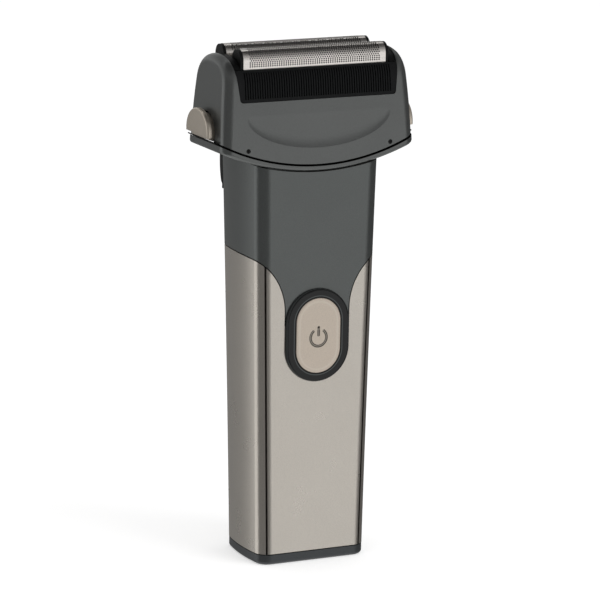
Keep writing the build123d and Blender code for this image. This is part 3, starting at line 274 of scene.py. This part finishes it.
@dataclass(frozen=True)
class Band:
    """A band of another colour between two distances from an outline, in mm."""

    colour: tuple[int, int, int]
    outline: Outline
    low: float
    high: float
    soft: float = 0.05
    matt: bool = False

    def mask(self, wiring: Wiring, place: bpy.types.NodeSocket) -> bpy.types.NodeSocket:
        """Give 1 inside the band and 0 outside.

        Args:
            wiring: The material's wiring.
            place: Object coordinates.

        Returns:
            The mask's socket.
        """
        slot = wiring.add("ShaderNodeGroup", node_tree=Textures.slot(), in_vector=place,
                          in_centre=self.outline.centre * MM, in_half=self.outline.half * MM,
                          in_radius=self.outline.radius * MM)
        edges = []
        for edge in (self.low, self.high):
            ramp = wiring.add("ShaderNodeMapRange", interpolation_type="SMOOTHSTEP",
                              in_value=slot.outputs["Distance"], in_from_min=(edge - self.soft) * MM,
                              in_from_max=(edge + self.soft) * MM)
            edges.append(ramp.outputs["Result"])
        return wiring.maths("SUBTRACT", edges[0], edges[1], clamp=True)


@dataclass(frozen=True)
class Finish:
    """One surface finish, with the texture that it carries."""

    slot: str
    colour: tuple[int, int, int]
    roughness: float = 0.4
    metallic: float = 0.0
    coat: float = 0.0
    coat_roughness: float = 0.1
    specular: float = 0.5
    grain: Grain = PLAIN
    swing: float = 0.05
    bands: tuple[Band, ...] = ()

    def material(self) -> bpy.types.Material:
        """Build the finish's material, once.

        Returns:
            The material.
        """
        made = bpy.data.materials.get(f"{self.slot}_finish")
        if made:
            return made
        material = bpy.data.materials.new(f"{self.slot}_finish")
        material.use_nodes = True
        shader = material.node_tree.nodes["Principled BSDF"]
        shader.inputs["Base Color"].default_value = srgb(*self.colour)
        shader.inputs["Metallic"].default_value = self.metallic
        shader.inputs["Specular IOR Level"].default_value = self.specular
        shader.inputs["Coat Weight"].default_value = self.coat
        shader.inputs["Coat Roughness"].default_value = self.coat_roughness
        wiring = Wiring(material.node_tree)
        place = wiring.add("ShaderNodeTexCoord").outputs["Object"]
        smudge = wiring.add("ShaderNodeGroup", node_tree=Textures.smudge(), in_vector=place,
                            in_base=self.roughness, in_swing=self.swing)
        wiring.feed(shader, "roughness", smudge.outputs["Roughness"])
        self.texture(wiring, shader, place)
        return material

    def texture(self, wiring: Wiring, shader: bpy.types.Node, place: bpy.types.NodeSocket) -> None:
        """Add the grain's colour change and relief.

        Args:
            wiring: The material's wiring.
            shader: The Principled BSDF.
            place: Object coordinates.
        """
        sizes = {"in_scale": self.grain.scale} if self.grain.scale else {}
        group = wiring.add("ShaderNodeGroup", node_tree=self.grain.group(), in_vector=place, **sizes)
        self.tone(wiring, shader, place, group.outputs[self.grain.shade])
        self.relief(wiring, shader, group.outputs[self.grain.height])

    def tone(self, wiring: Wiring, shader: bpy.types.Node, place: bpy.types.NodeSocket,
             mask: bpy.types.NodeSocket) -> None:
        """Let the colour drift a little lighter and darker with a mask, then lay the bands over it.

        Args:
            wiring: The material's wiring.
            shader: The Principled BSDF.
            place: Object coordinates.
            mask: Value round one half.
        """
        base = srgb(*self.colour)[:3]
        dark = tuple(part * (1 - self.grain.tone) for part in base) + (1.0,)
        light = tuple(min(part * (1 + self.grain.tone), 1.0) for part in base) + (1.0,)
        ramp = wiring.add("ShaderNodeValToRGB", in_fac=mask)
        ramp.color_ramp.elements[0].position = TONE_LOW
        ramp.color_ramp.elements[0].color = dark
        ramp.color_ramp.elements[1].position = TONE_HIGH
        ramp.color_ramp.elements[1].color = light
        colour = ramp.outputs["Color"]
        for band in self.bands:
            inside = band.mask(wiring, place)
            mix = wiring.add("ShaderNodeMix", data_type="RGBA", in_0=inside, in_6=colour,
                             in_7=srgb(*band.colour))
            colour = mix.outputs[2]
            if band.matt:
                outside = wiring.maths("SUBTRACT", 1.0, inside)
                wiring.feed(shader, "metallic", wiring.maths("MULTIPLY", outside, self.metallic))
                wiring.feed(shader, "specular_ior_level", wiring.maths("MULTIPLY", outside, self.specular))
        wiring.feed(shader, "base_color", colour)

    def relief(self, wiring: Wiring, shader: bpy.types.Node, height: bpy.types.NodeSocket) -> None:
        """Raise the surface by a height map.

        Args:
            wiring: The material's wiring.
            shader: The Principled BSDF.
            height: Height from 0 to 1.
        """
        bump = wiring.add("ShaderNodeBump", in_height=height, in_distance=self.grain.relief_mm * MM,
                          in_strength=1.0)
        wiring.feed(shader, "normal", bump.outputs["Normal"])


# The collar's top is an arc round an axis far above it; what lies inside COLLAR_TOP_R is that top, painted
# near-black and matt as painted shade under the head.
COLLAR_AXIS_Z = 191.5
COLLAR_TOP_R = 70.36
COLLAR_AXIS = Outline(COLLAR_AXIS_Z, 0.0, 0.0)
# The power button's edge, and the ring and bar of its symbol.
BUTTON_EDGE = Outline(70.0, 4.2, 7.25)
SYMBOL_RING = Outline(69.4, 0.0, 2.6)
SYMBOL_BAR = Outline(70.75, 1.0, 0.0)

FINISHES = {finish.slot: finish for finish in [
    Finish("cover_satin", (108, 110, 109), 0.34, 0.8, grain=LACQUER),
    Finish("neck_satin", (103, 106, 105), 0.34, 0.8, grain=LACQUER),
    Finish("champagne", (202, 196, 187), 0.28, 0.95, grain=LACQUER),
    Finish("gloss_black", (22, 23, 23), 0.16, coat=0.1, coat_roughness=0.06, specular=0.25, bands=(
        # Painted shade: near-black ring at the button's edge, standing for the shade in the gap round the
        # button.
        Band((4, 4, 4), BUTTON_EDGE, -1.0, 0.42),
        # Painted highlight: grey ring on the bezel's inner rounding.
        Band((74, 78, 78), BUTTON_EDGE, 0.45, 0.72),
        # Painted highlight: grey ring on the bezel's outer rounding.
        Band((52, 54, 54), BUTTON_EDGE, 2.6, 3.6))),
    Finish("collar_satin", (108, 110, 109), 0.34, 0.8, grain=LACQUER, bands=(
        # Painted shade: the collar's top face under the head is painted near-black and matt.
        Band((5, 5, 5), COLLAR_AXIS, 0.0, COLLAR_TOP_R, matt=True),)),
    Finish("matte_black", (14, 15, 15), 0.42, specular=0.2, grain=MOULDED),
    Finish("comb_black", (20, 21, 22), 0.4, specular=0.15, grain=MOULDED),
    Finish("foil_nickel", (226, 221, 216), 0.16, 0.95, grain=BRUSHED),
    # Painted shade: the steel cutter blades are darkened because they lie in shade under the foils.
    Finish("cutter_dark", (26, 26, 27), 0.5, 0.3, specular=0.2, grain=BRUSHED),
    # Painted shade: near-black for the foil's inner face and the walls of its holes, where little light
    # gets in.
    Finish("foil_inside", (18, 18, 18), 0.6, specular=0.1, grain=BRUSHED),
    Finish("button_champagne", (212, 199, 184), 0.42, 0.35, grain=LACQUER, bands=(
        # Painted highlight: lighter ring just inside the power button's edge.
        Band((220, 209, 195), BUTTON_EDGE, -1.35, -0.95, soft=0.25),
        # Painted shade: dark band from the button's edge outwards, standing for the shade of the gap round
        # it.
        Band((60, 58, 55), BUTTON_EDGE, -0.08, 1.0))),
    Finish("symbol_grey", (66, 62, 57), 0.5, specular=0.2, grain=MOULDED, bands=(
        Band((150, 143, 133), SYMBOL_RING, -0.16, 0.16, soft=0.1),
        Band((158, 150, 140), SYMBOL_BAR, -1.0, 0.12, soft=0.08))),
    Finish("release_metal", (206, 196, 182), 0.3, 0.8, grain=PLAIN),
    Finish("cap_dark", (74, 77, 79), 0.38, 0.5, grain=LACQUER),
    Finish("steel", (165, 165, 164), 0.3, 1.0, grain=BRUSHED),
    Finish("screw_black", (20, 20, 20), 0.4, 0.5, grain=BRUSHED),
    Finish("nickel", (200, 198, 190), 0.25, 1.0, grain=BRUSHED),
    Finish("brass", (181, 148, 80), 0.35, 1.0, grain=BRUSHED),
    Finish("magnet_grey", (58, 58, 60), 0.6, 0.3, grain=MOULDED),
    Finish("board_green", (20, 78, 40), 0.4),
    Finish("battery_sleeve", (30, 78, 115), 0.35),
    Finish("rubber_black", (14, 14, 14), 0.7, specular=0.2, grain=MOULDED),
    Finish("pom_white", (226, 226, 220), 0.4),
]}
# Own finishes: the collar's has a painted shade top, and the cutter blades' is painted shade under the
# foils.
SPECIAL = {"collar": "collar_satin", "front_cutter_blades": "cutter_dark",
           "rear_cutter_blades": "cutter_dark"}


def dress(node: str) -> None:
    """Give a carried-over node the finish of its slot, or its own special one.

    Args:
        node: The node's name.
    """
    piece = frame["nodes"][node]
    finish = FINISHES[SPECIAL.get(node, NODES[node])]
    piece.data.materials.clear()
    piece.data.materials.append(finish.material())
    LOG.info("%s: %s", node, finish.slot)


# ---------------------------------------------------------------- perforated foils
def only(piece: bpy.types.Object) -> None:
    """Make one object the only selected and active one.

    Args:
        piece: The object.
    """
    bpy.ops.object.select_all(action="DESELECT")
    piece.select_set(True)
    bpy.context.view_layer.objects.active = piece


@dataclass
class PerforatedFoil:
    """A shaving foil: thin nickel sheet with staggered round holes, bent over the cutter."""

    side: str
    column_mm: float = 0.36
    row_mm: float = 0.58
    hole_mm: float = 0.25
    end_mm: float = 2.1
    edge_mm: float = 1.7
    sheet_mm: float = 0.1
    round_profile: float = 0.086
    smooth_deg: float = 35.0
    columns: int = 0
    rows: int = 0

    def build(self) -> bpy.types.Object:
        """Model the foil over its plain solid and put it in that solid's place.

        Returns:
            The finished piece.
        """
        low, high = (Vector(corner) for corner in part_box(f"{self.side}_foil"))
        length, width, height = high - low
        radius = (width - self.sheet_mm * MM) / 2
        leg = height - width / 2
        run = math.pi * radius + 2 * leg
        piece = self.sheet(length, run)
        self.punch(piece, length, run)
        self.bend(piece, leg / run)
        # The second slot is painted shade for the inside of the foil.
        for slot in ("foil_nickel", "foil_inside"):
            piece.data.materials.append(FINISHES[slot].material())
        self.seat(piece, Vector(((low.x + high.x) / 2, (low.y + high.y) / 2,
                                 high.z - self.sheet_mm * MM / 2)))
        self.thicken(piece)
        piece.name = f"{self.side}_foil_perforated"
        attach(piece, f"{self.side}_foil_unit")
        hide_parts(f"{self.side}_foil")
        LOG.info("%s: %d faces", piece.name, len(piece.data.polygons))
        return piece

    def sheet(self, length: float, run: float) -> bpy.types.Object:
        """Lay out the flat sheet, standing in the XZ plane, as a grid with more points than holes.

        Args:
            length: Length along the cutter.
            run: Developed width.

        Returns:
            The sheet.
        """
        self.columns = round(length / (self.column_mm * MM))
        self.rows = round(run / (self.row_mm * MM))
        bpy.ops.object.select_all(action="DESELECT")
        bpy.ops.mesh.primitive_grid_add(x_subdivisions=self.columns, y_subdivisions=self.rows, size=1.0)
        piece = bpy.context.object
        piece.matrix_world = Matrix.Rotation(math.pi / 2, 4, "X") @ Matrix.Diagonal((length, run, 1.0, 1.0))
        bpy.ops.object.transform_apply(location=True, rotation=True, scale=True)
        return piece

    def punch(self, piece: bpy.types.Object, length: float, run: float) -> None:
        """Open the staggered holes by bevelling points of the grid and removing the new faces.

        Args:
            piece: The flat sheet.
            length: Its length.
            run: Its developed width.
        """
        only(piece)
        bpy.context.tool_settings.mesh_select_mode = (True, False, False)
        bpy.ops.object.mode_set(mode="EDIT")
        bpy.ops.mesh.select_all(action="DESELECT")
        bpy.ops.object.mode_set(mode="OBJECT")
        step_x, step_z = length / self.columns, run / self.rows
        for point in piece.data.vertices:
            column, row = round(point.co.x / step_x), round(point.co.z / step_z)
            inside = (abs(point.co.x) < length / 2 - self.end_mm * MM
                      and abs(point.co.z) < run / 2 - self.edge_mm * MM)
            point.select = inside and (column + row) % 2 == 0
        bpy.ops.object.mode_set(mode="EDIT")
        bpy.ops.mesh.bevel(offset=self.hole_mm * MM, offset_type="OFFSET", segments=2,
                           profile=self.round_profile, affect="VERTICES")
        bpy.ops.mesh.delete(type="ONLY_FACE")
        bpy.ops.object.mode_set(mode="OBJECT")

    def bend(self, piece: bpy.types.Object, leg_share: float) -> None:
        """Bend the middle of the sheet through half a turn.

        Args:
            piece: The punched sheet.
            leg_share: Share of the width that stays straight at each edge.
        """
        bow = piece.modifiers.new("bow", "SIMPLE_DEFORM")
        bow.deform_method = "BEND"
        bow.deform_axis = "X"
        bow.angle = math.pi
        bow.limits = (leg_share, 1.0 - leg_share)
        only(piece)
        bpy.ops.object.modifier_apply(modifier=bow.name)

    def seat(self, piece: bpy.types.Object, crest: Vector) -> None:
        """Turn the foil crest up and set it on the cutter.

        Args:
            piece: The bent sheet, its crest at the origin.
            crest: Where the crest goes.
        """
        piece.matrix_world = Matrix.Translation(crest) @ Matrix.Rotation(-math.pi / 2, 4, "X")
        only(piece)
        bpy.ops.object.transform_apply(location=True, rotation=True, scale=True)

    def thicken(self, piece: bpy.types.Object) -> None:
        """Give the sheet its thickness and smooth its curve; the inner face and the hole walls take the
        second material, which is painted shade.

        Args:
            piece: The seated sheet.
        """
        only(piece)
        bpy.ops.object.mode_set(mode="EDIT")
        bpy.ops.mesh.select_all(action="SELECT")
        bpy.ops.mesh.normals_make_consistent(inside=False)
        bpy.ops.object.mode_set(mode="OBJECT")
        wall = piece.modifiers.new("wall", "SOLIDIFY")
        wall.thickness = self.sheet_mm * MM
        wall.offset = 0.0
        wall.material_offset = 1
        wall.material_offset_rim = 1
        bpy.ops.object.modifier_apply(modifier=wall.name)
        bpy.ops.object.shade_smooth_by_angle(angle=math.radians(self.smooth_deg))


# ---------------------------------------------------------------- the shaver's sub-assemblies
@dataclass
class Handle:
    """Casing, power button and everything inside the handle."""

    shells: tuple[str, ...] = ("bottom_cap", "rear_shell", "front_panel", "upper_shell", "collar")
    switch: tuple[str, ...] = ("button_bezel", "power_button", "power_symbol", "button_boot", "tact_switch")
    inside: tuple[str, ...] = ("chassis", "battery", "battery_tabs", "circuit_board", "board_parts",
                               "charge_inlet", "inlet_contact", "cap_screws")
    motor: tuple[str, ...] = ("motor_can", "motor_end_cap", "motor_bearing", "motor_magnets", "motor_core",
                              "motor_bracket", "motor_screws", "motor_shaft", "eccentric")

    def build(self) -> None:
        """Dress every node of the handle."""
        for node in self.shells + self.switch + self.inside + self.motor:
            dress(node)


@dataclass
class Head:
    """Head cover, foils, cutters, drive and release buttons."""

    body: tuple[str, ...] = ("head_cover", "head_screws", "foil_frame", "front_comb", "rear_comb")
    releases: tuple[str, ...] = ("right_release", "left_release", "right_release_spring",
                                 "left_release_spring")
    drive: tuple[str, ...] = ("drive_bridge", "bridge_leaves", "drive_seals", "drive_deck")
    sides: tuple[str, ...] = ("front", "rear")
    cutting: tuple[str, ...] = ("foil", "foil_carrier", "cutter_carrier", "cutter_blades", "cutter_spring")

    def build(self) -> None:
        """Dress every node of the head and lay the perforated foils."""
        for node in self.body + self.releases + self.drive:
            dress(node)
        for side in self.sides:
            for part in self.cutting:
                dress(f"{side}_{part}")
            PerforatedFoil(side).build()


@dataclass
class SeamShadeStrips:
    """Black rubber-finish strips on the collar in the seam under the release buttons, a dark sheet laid
    there as painted shade of the seam.
    """

    sides: tuple[str, ...] = ("left", "right")
    axis_z_mm: float = COLLAR_AXIS_Z
    seat_radius_mm: float = 70.19
    thickness_mm: float = 0.36
    centre_x_mm: float = 30.7
    width_mm: float = 3.0
    length_mm: float = 19.8
    centre_y_mm: float = -0.55
    edge_mm: float = 0.08

    def build(self) -> None:
        """Lay one strip under each release button."""
        radius = self.seat_radius_mm - self.thickness_mm / 2
        lean = math.asin(self.centre_x_mm / radius)
        for side, sign in zip(self.sides, (-1, 1)):
            place = Vector((sign * self.centre_x_mm, self.centre_y_mm,
                            self.axis_z_mm - radius * math.cos(lean)))
            bpy.ops.object.select_all(action="DESELECT")
            bpy.ops.mesh.primitive_cube_add(size=1.0)
            strip = bpy.context.object
            strip.name = f"{side}_seam_seal"
            strip.matrix_world = (Matrix.Translation(place * MM) @ Matrix.Rotation(-sign * lean, 4, "Y")
                                  @ Matrix.Diagonal((self.width_mm * MM, self.length_mm * MM,
                                                     self.thickness_mm * MM, 1.0)))
            bpy.ops.object.transform_apply(location=True, rotation=True, scale=True)
            bpy.ops.object.mode_set(mode="EDIT")
            bpy.ops.mesh.select_all(action="SELECT")
            bpy.ops.mesh.bevel(offset=self.edge_mm * MM, segments=2)
            bpy.ops.object.mode_set(mode="OBJECT")
            # Painted shade: the strip's black stands in for the shade in the seam.
            strip.data.materials.append(FINISHES["rubber_black"].material())
            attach(strip, "base")
            LOG.info("%s: on the collar", strip.name)


@dataclass
class Trimmer:
    """Flip-out trimmer at the back."""

    parts: tuple[str, ...] = ("trimmer_flap", "trimmer_pin", "trimmer_comb", "trimmer_cutter")

    def build(self) -> None:
        """Dress every node of the trimmer."""
        for node in self.parts:
            dress(node)


# ---------------------------------------------------------------- studio
@dataclass(frozen=True)
class Flag:
    """A studio flag: part of a wide round curtain that only shows in reflections."""

    name: str
    start: float
    end: float
    light: float
    base: float = -1.6
    top: float = 1.4
    radius: float = 2.0
    facets: int = 180

    def build(self) -> None:
        """Hang the flag in its sector, in degrees from the front towards the left."""
        bpy.ops.object.select_all(action="DESELECT")
        bpy.ops.mesh.primitive_cylinder_add(vertices=self.facets, radius=self.radius,
                                            depth=self.top - self.base, end_fill_type="NOTHING",
                                            location=(0, 0, (self.top + self.base) / 2))
        flag = bpy.context.object
        flag.name = self.name
        bpy.ops.object.transform_apply(location=True, rotation=True, scale=True)
        bpy.ops.object.mode_set(mode="EDIT")
        bpy.ops.mesh.select_all(action="DESELECT")
        bpy.ops.mesh.select_mode(type="FACE")
        bpy.ops.object.mode_set(mode="OBJECT")
        for face in flag.data.polygons:
            face.select = not self.holds(face.center)
        bpy.ops.object.mode_set(mode="EDIT")
        bpy.ops.mesh.delete(type="FACE")
        bpy.ops.object.mode_set(mode="OBJECT")
        show_in_reflections(flag, self.light)

    def holds(self, place: Vector) -> bool:
        """Say whether a place lies in the flag's sector.

        Args:
            place: A point, in metres.

        Returns:
            True inside the sector.
        """
        bearing = math.degrees(math.atan2(-place.x, -place.y))
        return (bearing - self.start) % 360 < self.end - self.start


def show_in_reflections(piece: bpy.types.Object, light: float) -> None:
    """Make a stage piece glow at one level and hide it from all but glossy rays.

    Args:
        piece: The flag or softbox.
        light: Its level, where 1 is white.
    """
    piece.visible_camera = False
    piece.visible_diffuse = False
    piece.visible_shadow = False
    piece.visible_transmission = False
    paper = bpy.data.materials.new(piece.name)
    paper.use_nodes = True
    wiring = Wiring(paper.node_tree)
    glow = wiring.add("ShaderNodeEmission", in_color=(1.0, 1.0, 1.0, 1.0), in_strength=light)
    wiring.feed(paper.node_tree.nodes["Material Output"], "surface", glow.outputs["Emission"])
    piece.data.materials.append(paper)


FLAGS = [
    Flag("flag_left", -14.0, 98.0, 0.17),
    Flag("flag_rear", 140.0, 208.0, 0.25, top=0.3),
    Flag("flag_right", 208.0, 322.0, 0.12),
]


@dataclass
class Studio:
    """Floor, backdrop, flags, soft lights and the camera, in metres; box_elevation is in degrees."""

    target: Vector
    azimuth: float = math.radians(25.0)
    elevation: float = math.radians(12.47)
    distance: float = 1.097
    roll: float = math.radians(0.66)
    lens: float = 219.7
    shift_x: float = -0.8 / 600
    sky: float = 0.6
    # Height and level of the ramp's stops; the first two are its ends.
    overhead: tuple[tuple[float, float], ...] = ((0.0, 0.95), (1.0, 0.02), (0.2, 0.66), (0.5, 0.4),
                                                 (0.74, 0.2), (0.88, 0.03))
    floor_size: float = 12.0
    floor_lift: float = 0.47
    box_elevation: float = 62.0
    box_distance: float = 1.5
    box_length: float = 2.4
    box_width: float = 0.52
    box_light: float = 1.0
    key_place: tuple[float, float, float] = (0.6, -0.9, 0.8)
    key_size: float = 0.7
    key_power: float = 4.0

    def camera(self) -> None:
        """Aim the camera at the shaver."""
        lens = bpy.data.cameras.new("camera")
        lens.lens = self.lens
        lens.sensor_width = 36.0
        lens.shift_x = self.shift_x
        lens.clip_end = 20.0
        eye = bpy.data.objects.new("camera", lens)
        bpy.context.collection.objects.link(eye)
        flat = math.cos(self.elevation)
        toward = Vector((-math.sin(self.azimuth) * flat, -math.cos(self.azimuth) * flat,
                         math.sin(self.elevation)))
        aim = toward.to_track_quat("Z", "Y").to_matrix().to_4x4()
        spot = Matrix.Translation(self.target + toward * self.distance)
        eye.matrix_world = spot @ aim @ Matrix.Rotation(self.roll, 4, "Z")
        bpy.context.scene.camera = eye

    def key_light(self) -> None:
        """Add one square soft light, aimed at the shaver and hidden from reflections."""
        lamp = bpy.data.lights.new("key", "AREA")
        lamp.size = self.key_size
        lamp.energy = self.key_power
        holder = bpy.data.objects.new("key", lamp)
        holder.visible_glossy = False
        bpy.context.collection.objects.link(holder)
        spot = Vector(self.key_place)
        aim = (spot - self.target).to_track_quat("Z", "Y").to_matrix().to_4x4()
        holder.matrix_world = Matrix.Translation(spot) @ aim

    def floor(self) -> None:
        """Lay a white floor that keeps the shaver's shadow and isn't seen in reflections."""
        bpy.ops.object.select_all(action="DESELECT")
        bpy.ops.mesh.primitive_plane_add(size=self.floor_size, location=(0, 0, 0))
        floor = bpy.context.object
        floor.name = "floor"
        floor.visible_glossy = False
        paper = bpy.data.materials.new("paper")
        paper.use_nodes = True
        wiring = Wiring(paper.node_tree)
        shader = paper.node_tree.nodes["Principled BSDF"]
        shader.inputs["Base Color"].default_value = (0.9, 0.9, 0.9, 1)
        shader.inputs["Roughness"].default_value = 0.9
        shader.inputs["Specular IOR Level"].default_value = 0.0
        glow = wiring.add("ShaderNodeEmission", in_color=(1.0, 1.0, 1.0, 1.0), in_strength=1.0)
        path = wiring.add("ShaderNodeLightPath")
        seen = wiring.maths("ADD", path.outputs["Is Camera Ray"], path.outputs["Is Glossy Ray"])
        seen = wiring.maths("ADD", seen, path.outputs["Is Transmission Ray"], clamp=True)
        wiring.feed(glow, "strength", wiring.maths("MULTIPLY", seen, self.floor_lift))
        both = wiring.add("ShaderNodeAddShader", in_0=shader.outputs["BSDF"], in_1=glow.outputs["Emission"])
        wiring.feed(paper.node_tree.nodes["Material Output"], "surface", both.outputs["Shader"])
        floor.data.materials.append(paper)

    def softbox(self) -> None:
        """Hang a bright strip above and behind the shaver."""
        bpy.ops.object.select_all(action="DESELECT")
        bpy.ops.mesh.primitive_plane_add(size=1.0)
        strip = bpy.context.object
        strip.name = "softbox"
        lean = math.radians(self.box_elevation)
        spot = Vector((0, self.box_distance * math.cos(lean),
                       self.target.z + self.box_distance * math.sin(lean)))
        strip.matrix_world = (Matrix.Translation(spot) @ Matrix.Rotation(math.pi / 2 - lean, 4, "X")
                              @ Matrix.Diagonal((self.box_length, self.box_width, 1.0, 1.0)))
        bpy.ops.object.transform_apply(location=True, rotation=True, scale=True)
        show_in_reflections(strip, self.box_light)

    def world(self) -> None:
        """Surround the shaver with soft light, white to the camera and graded by height to reflections."""
        world = bpy.data.worlds.new("studio")
        bpy.context.scene.world = world
        world.use_nodes = True
        wiring = Wiring(world.node_tree)
        path = wiring.add("ShaderNodeLightPath")
        seen = wiring.maths("ADD", path.outputs["Is Camera Ray"], path.outputs["Is Glossy Ray"])
        seen = wiring.maths("ADD", seen, path.outputs["Is Transmission Ray"], clamp=True)
        direction = wiring.add("ShaderNodeTexCoord").outputs["Generated"]
        height = wiring.add("ShaderNodeSeparateXYZ", in_vector=direction).outputs["Z"]
        ramp = wiring.add("ShaderNodeValToRGB", in_fac=wiring.maths("MAXIMUM", height, 0.0))
        for index, (place, level) in enumerate(self.overhead):
            stop = ramp.color_ramp.elements[index] if index < 2 else ramp.color_ramp.elements.new(place)
            stop.position = place
            stop.color = (level, level, level, 1.0)
        glossy = path.outputs["Is Glossy Ray"]
        shown = wiring.add("ShaderNodeMix", data_type="FLOAT", in_0=glossy, in_2=1.0,
                           in_3=ramp.outputs["Color"])
        strength = wiring.add("ShaderNodeMix", data_type="FLOAT", in_0=seen, in_2=self.sky,
                              in_3=shown.outputs[0])
        backdrop = world.node_tree.nodes["Background"]
        backdrop.inputs["Color"].default_value = (1, 1, 1, 1)
        wiring.feed(backdrop, "strength", strength.outputs[0])

    def build(self) -> None:
        """Place the camera, lay the floor and hang the backdrop, the flags and the lights."""
        self.camera()
        self.floor()
        self.world()
        for flag in FLAGS:
            flag.build()
        self.softbox()
        self.key_light()
        bpy.context.scene.view_settings.view_transform = "Standard"


CAMERA_TARGET = Vector((0.0, -0.0024, 0.0782))


def main() -> None:
    """Build the scene."""
    logging.basicConfig(level=logging.INFO, format="%(message)s")
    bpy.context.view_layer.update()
    for part in (Handle(), Head(), SeamShadeStrips(), Trimmer()):
        part.build()
    Studio(CAMERA_TARGET).build()


if __name__ == "__main__":
    main()
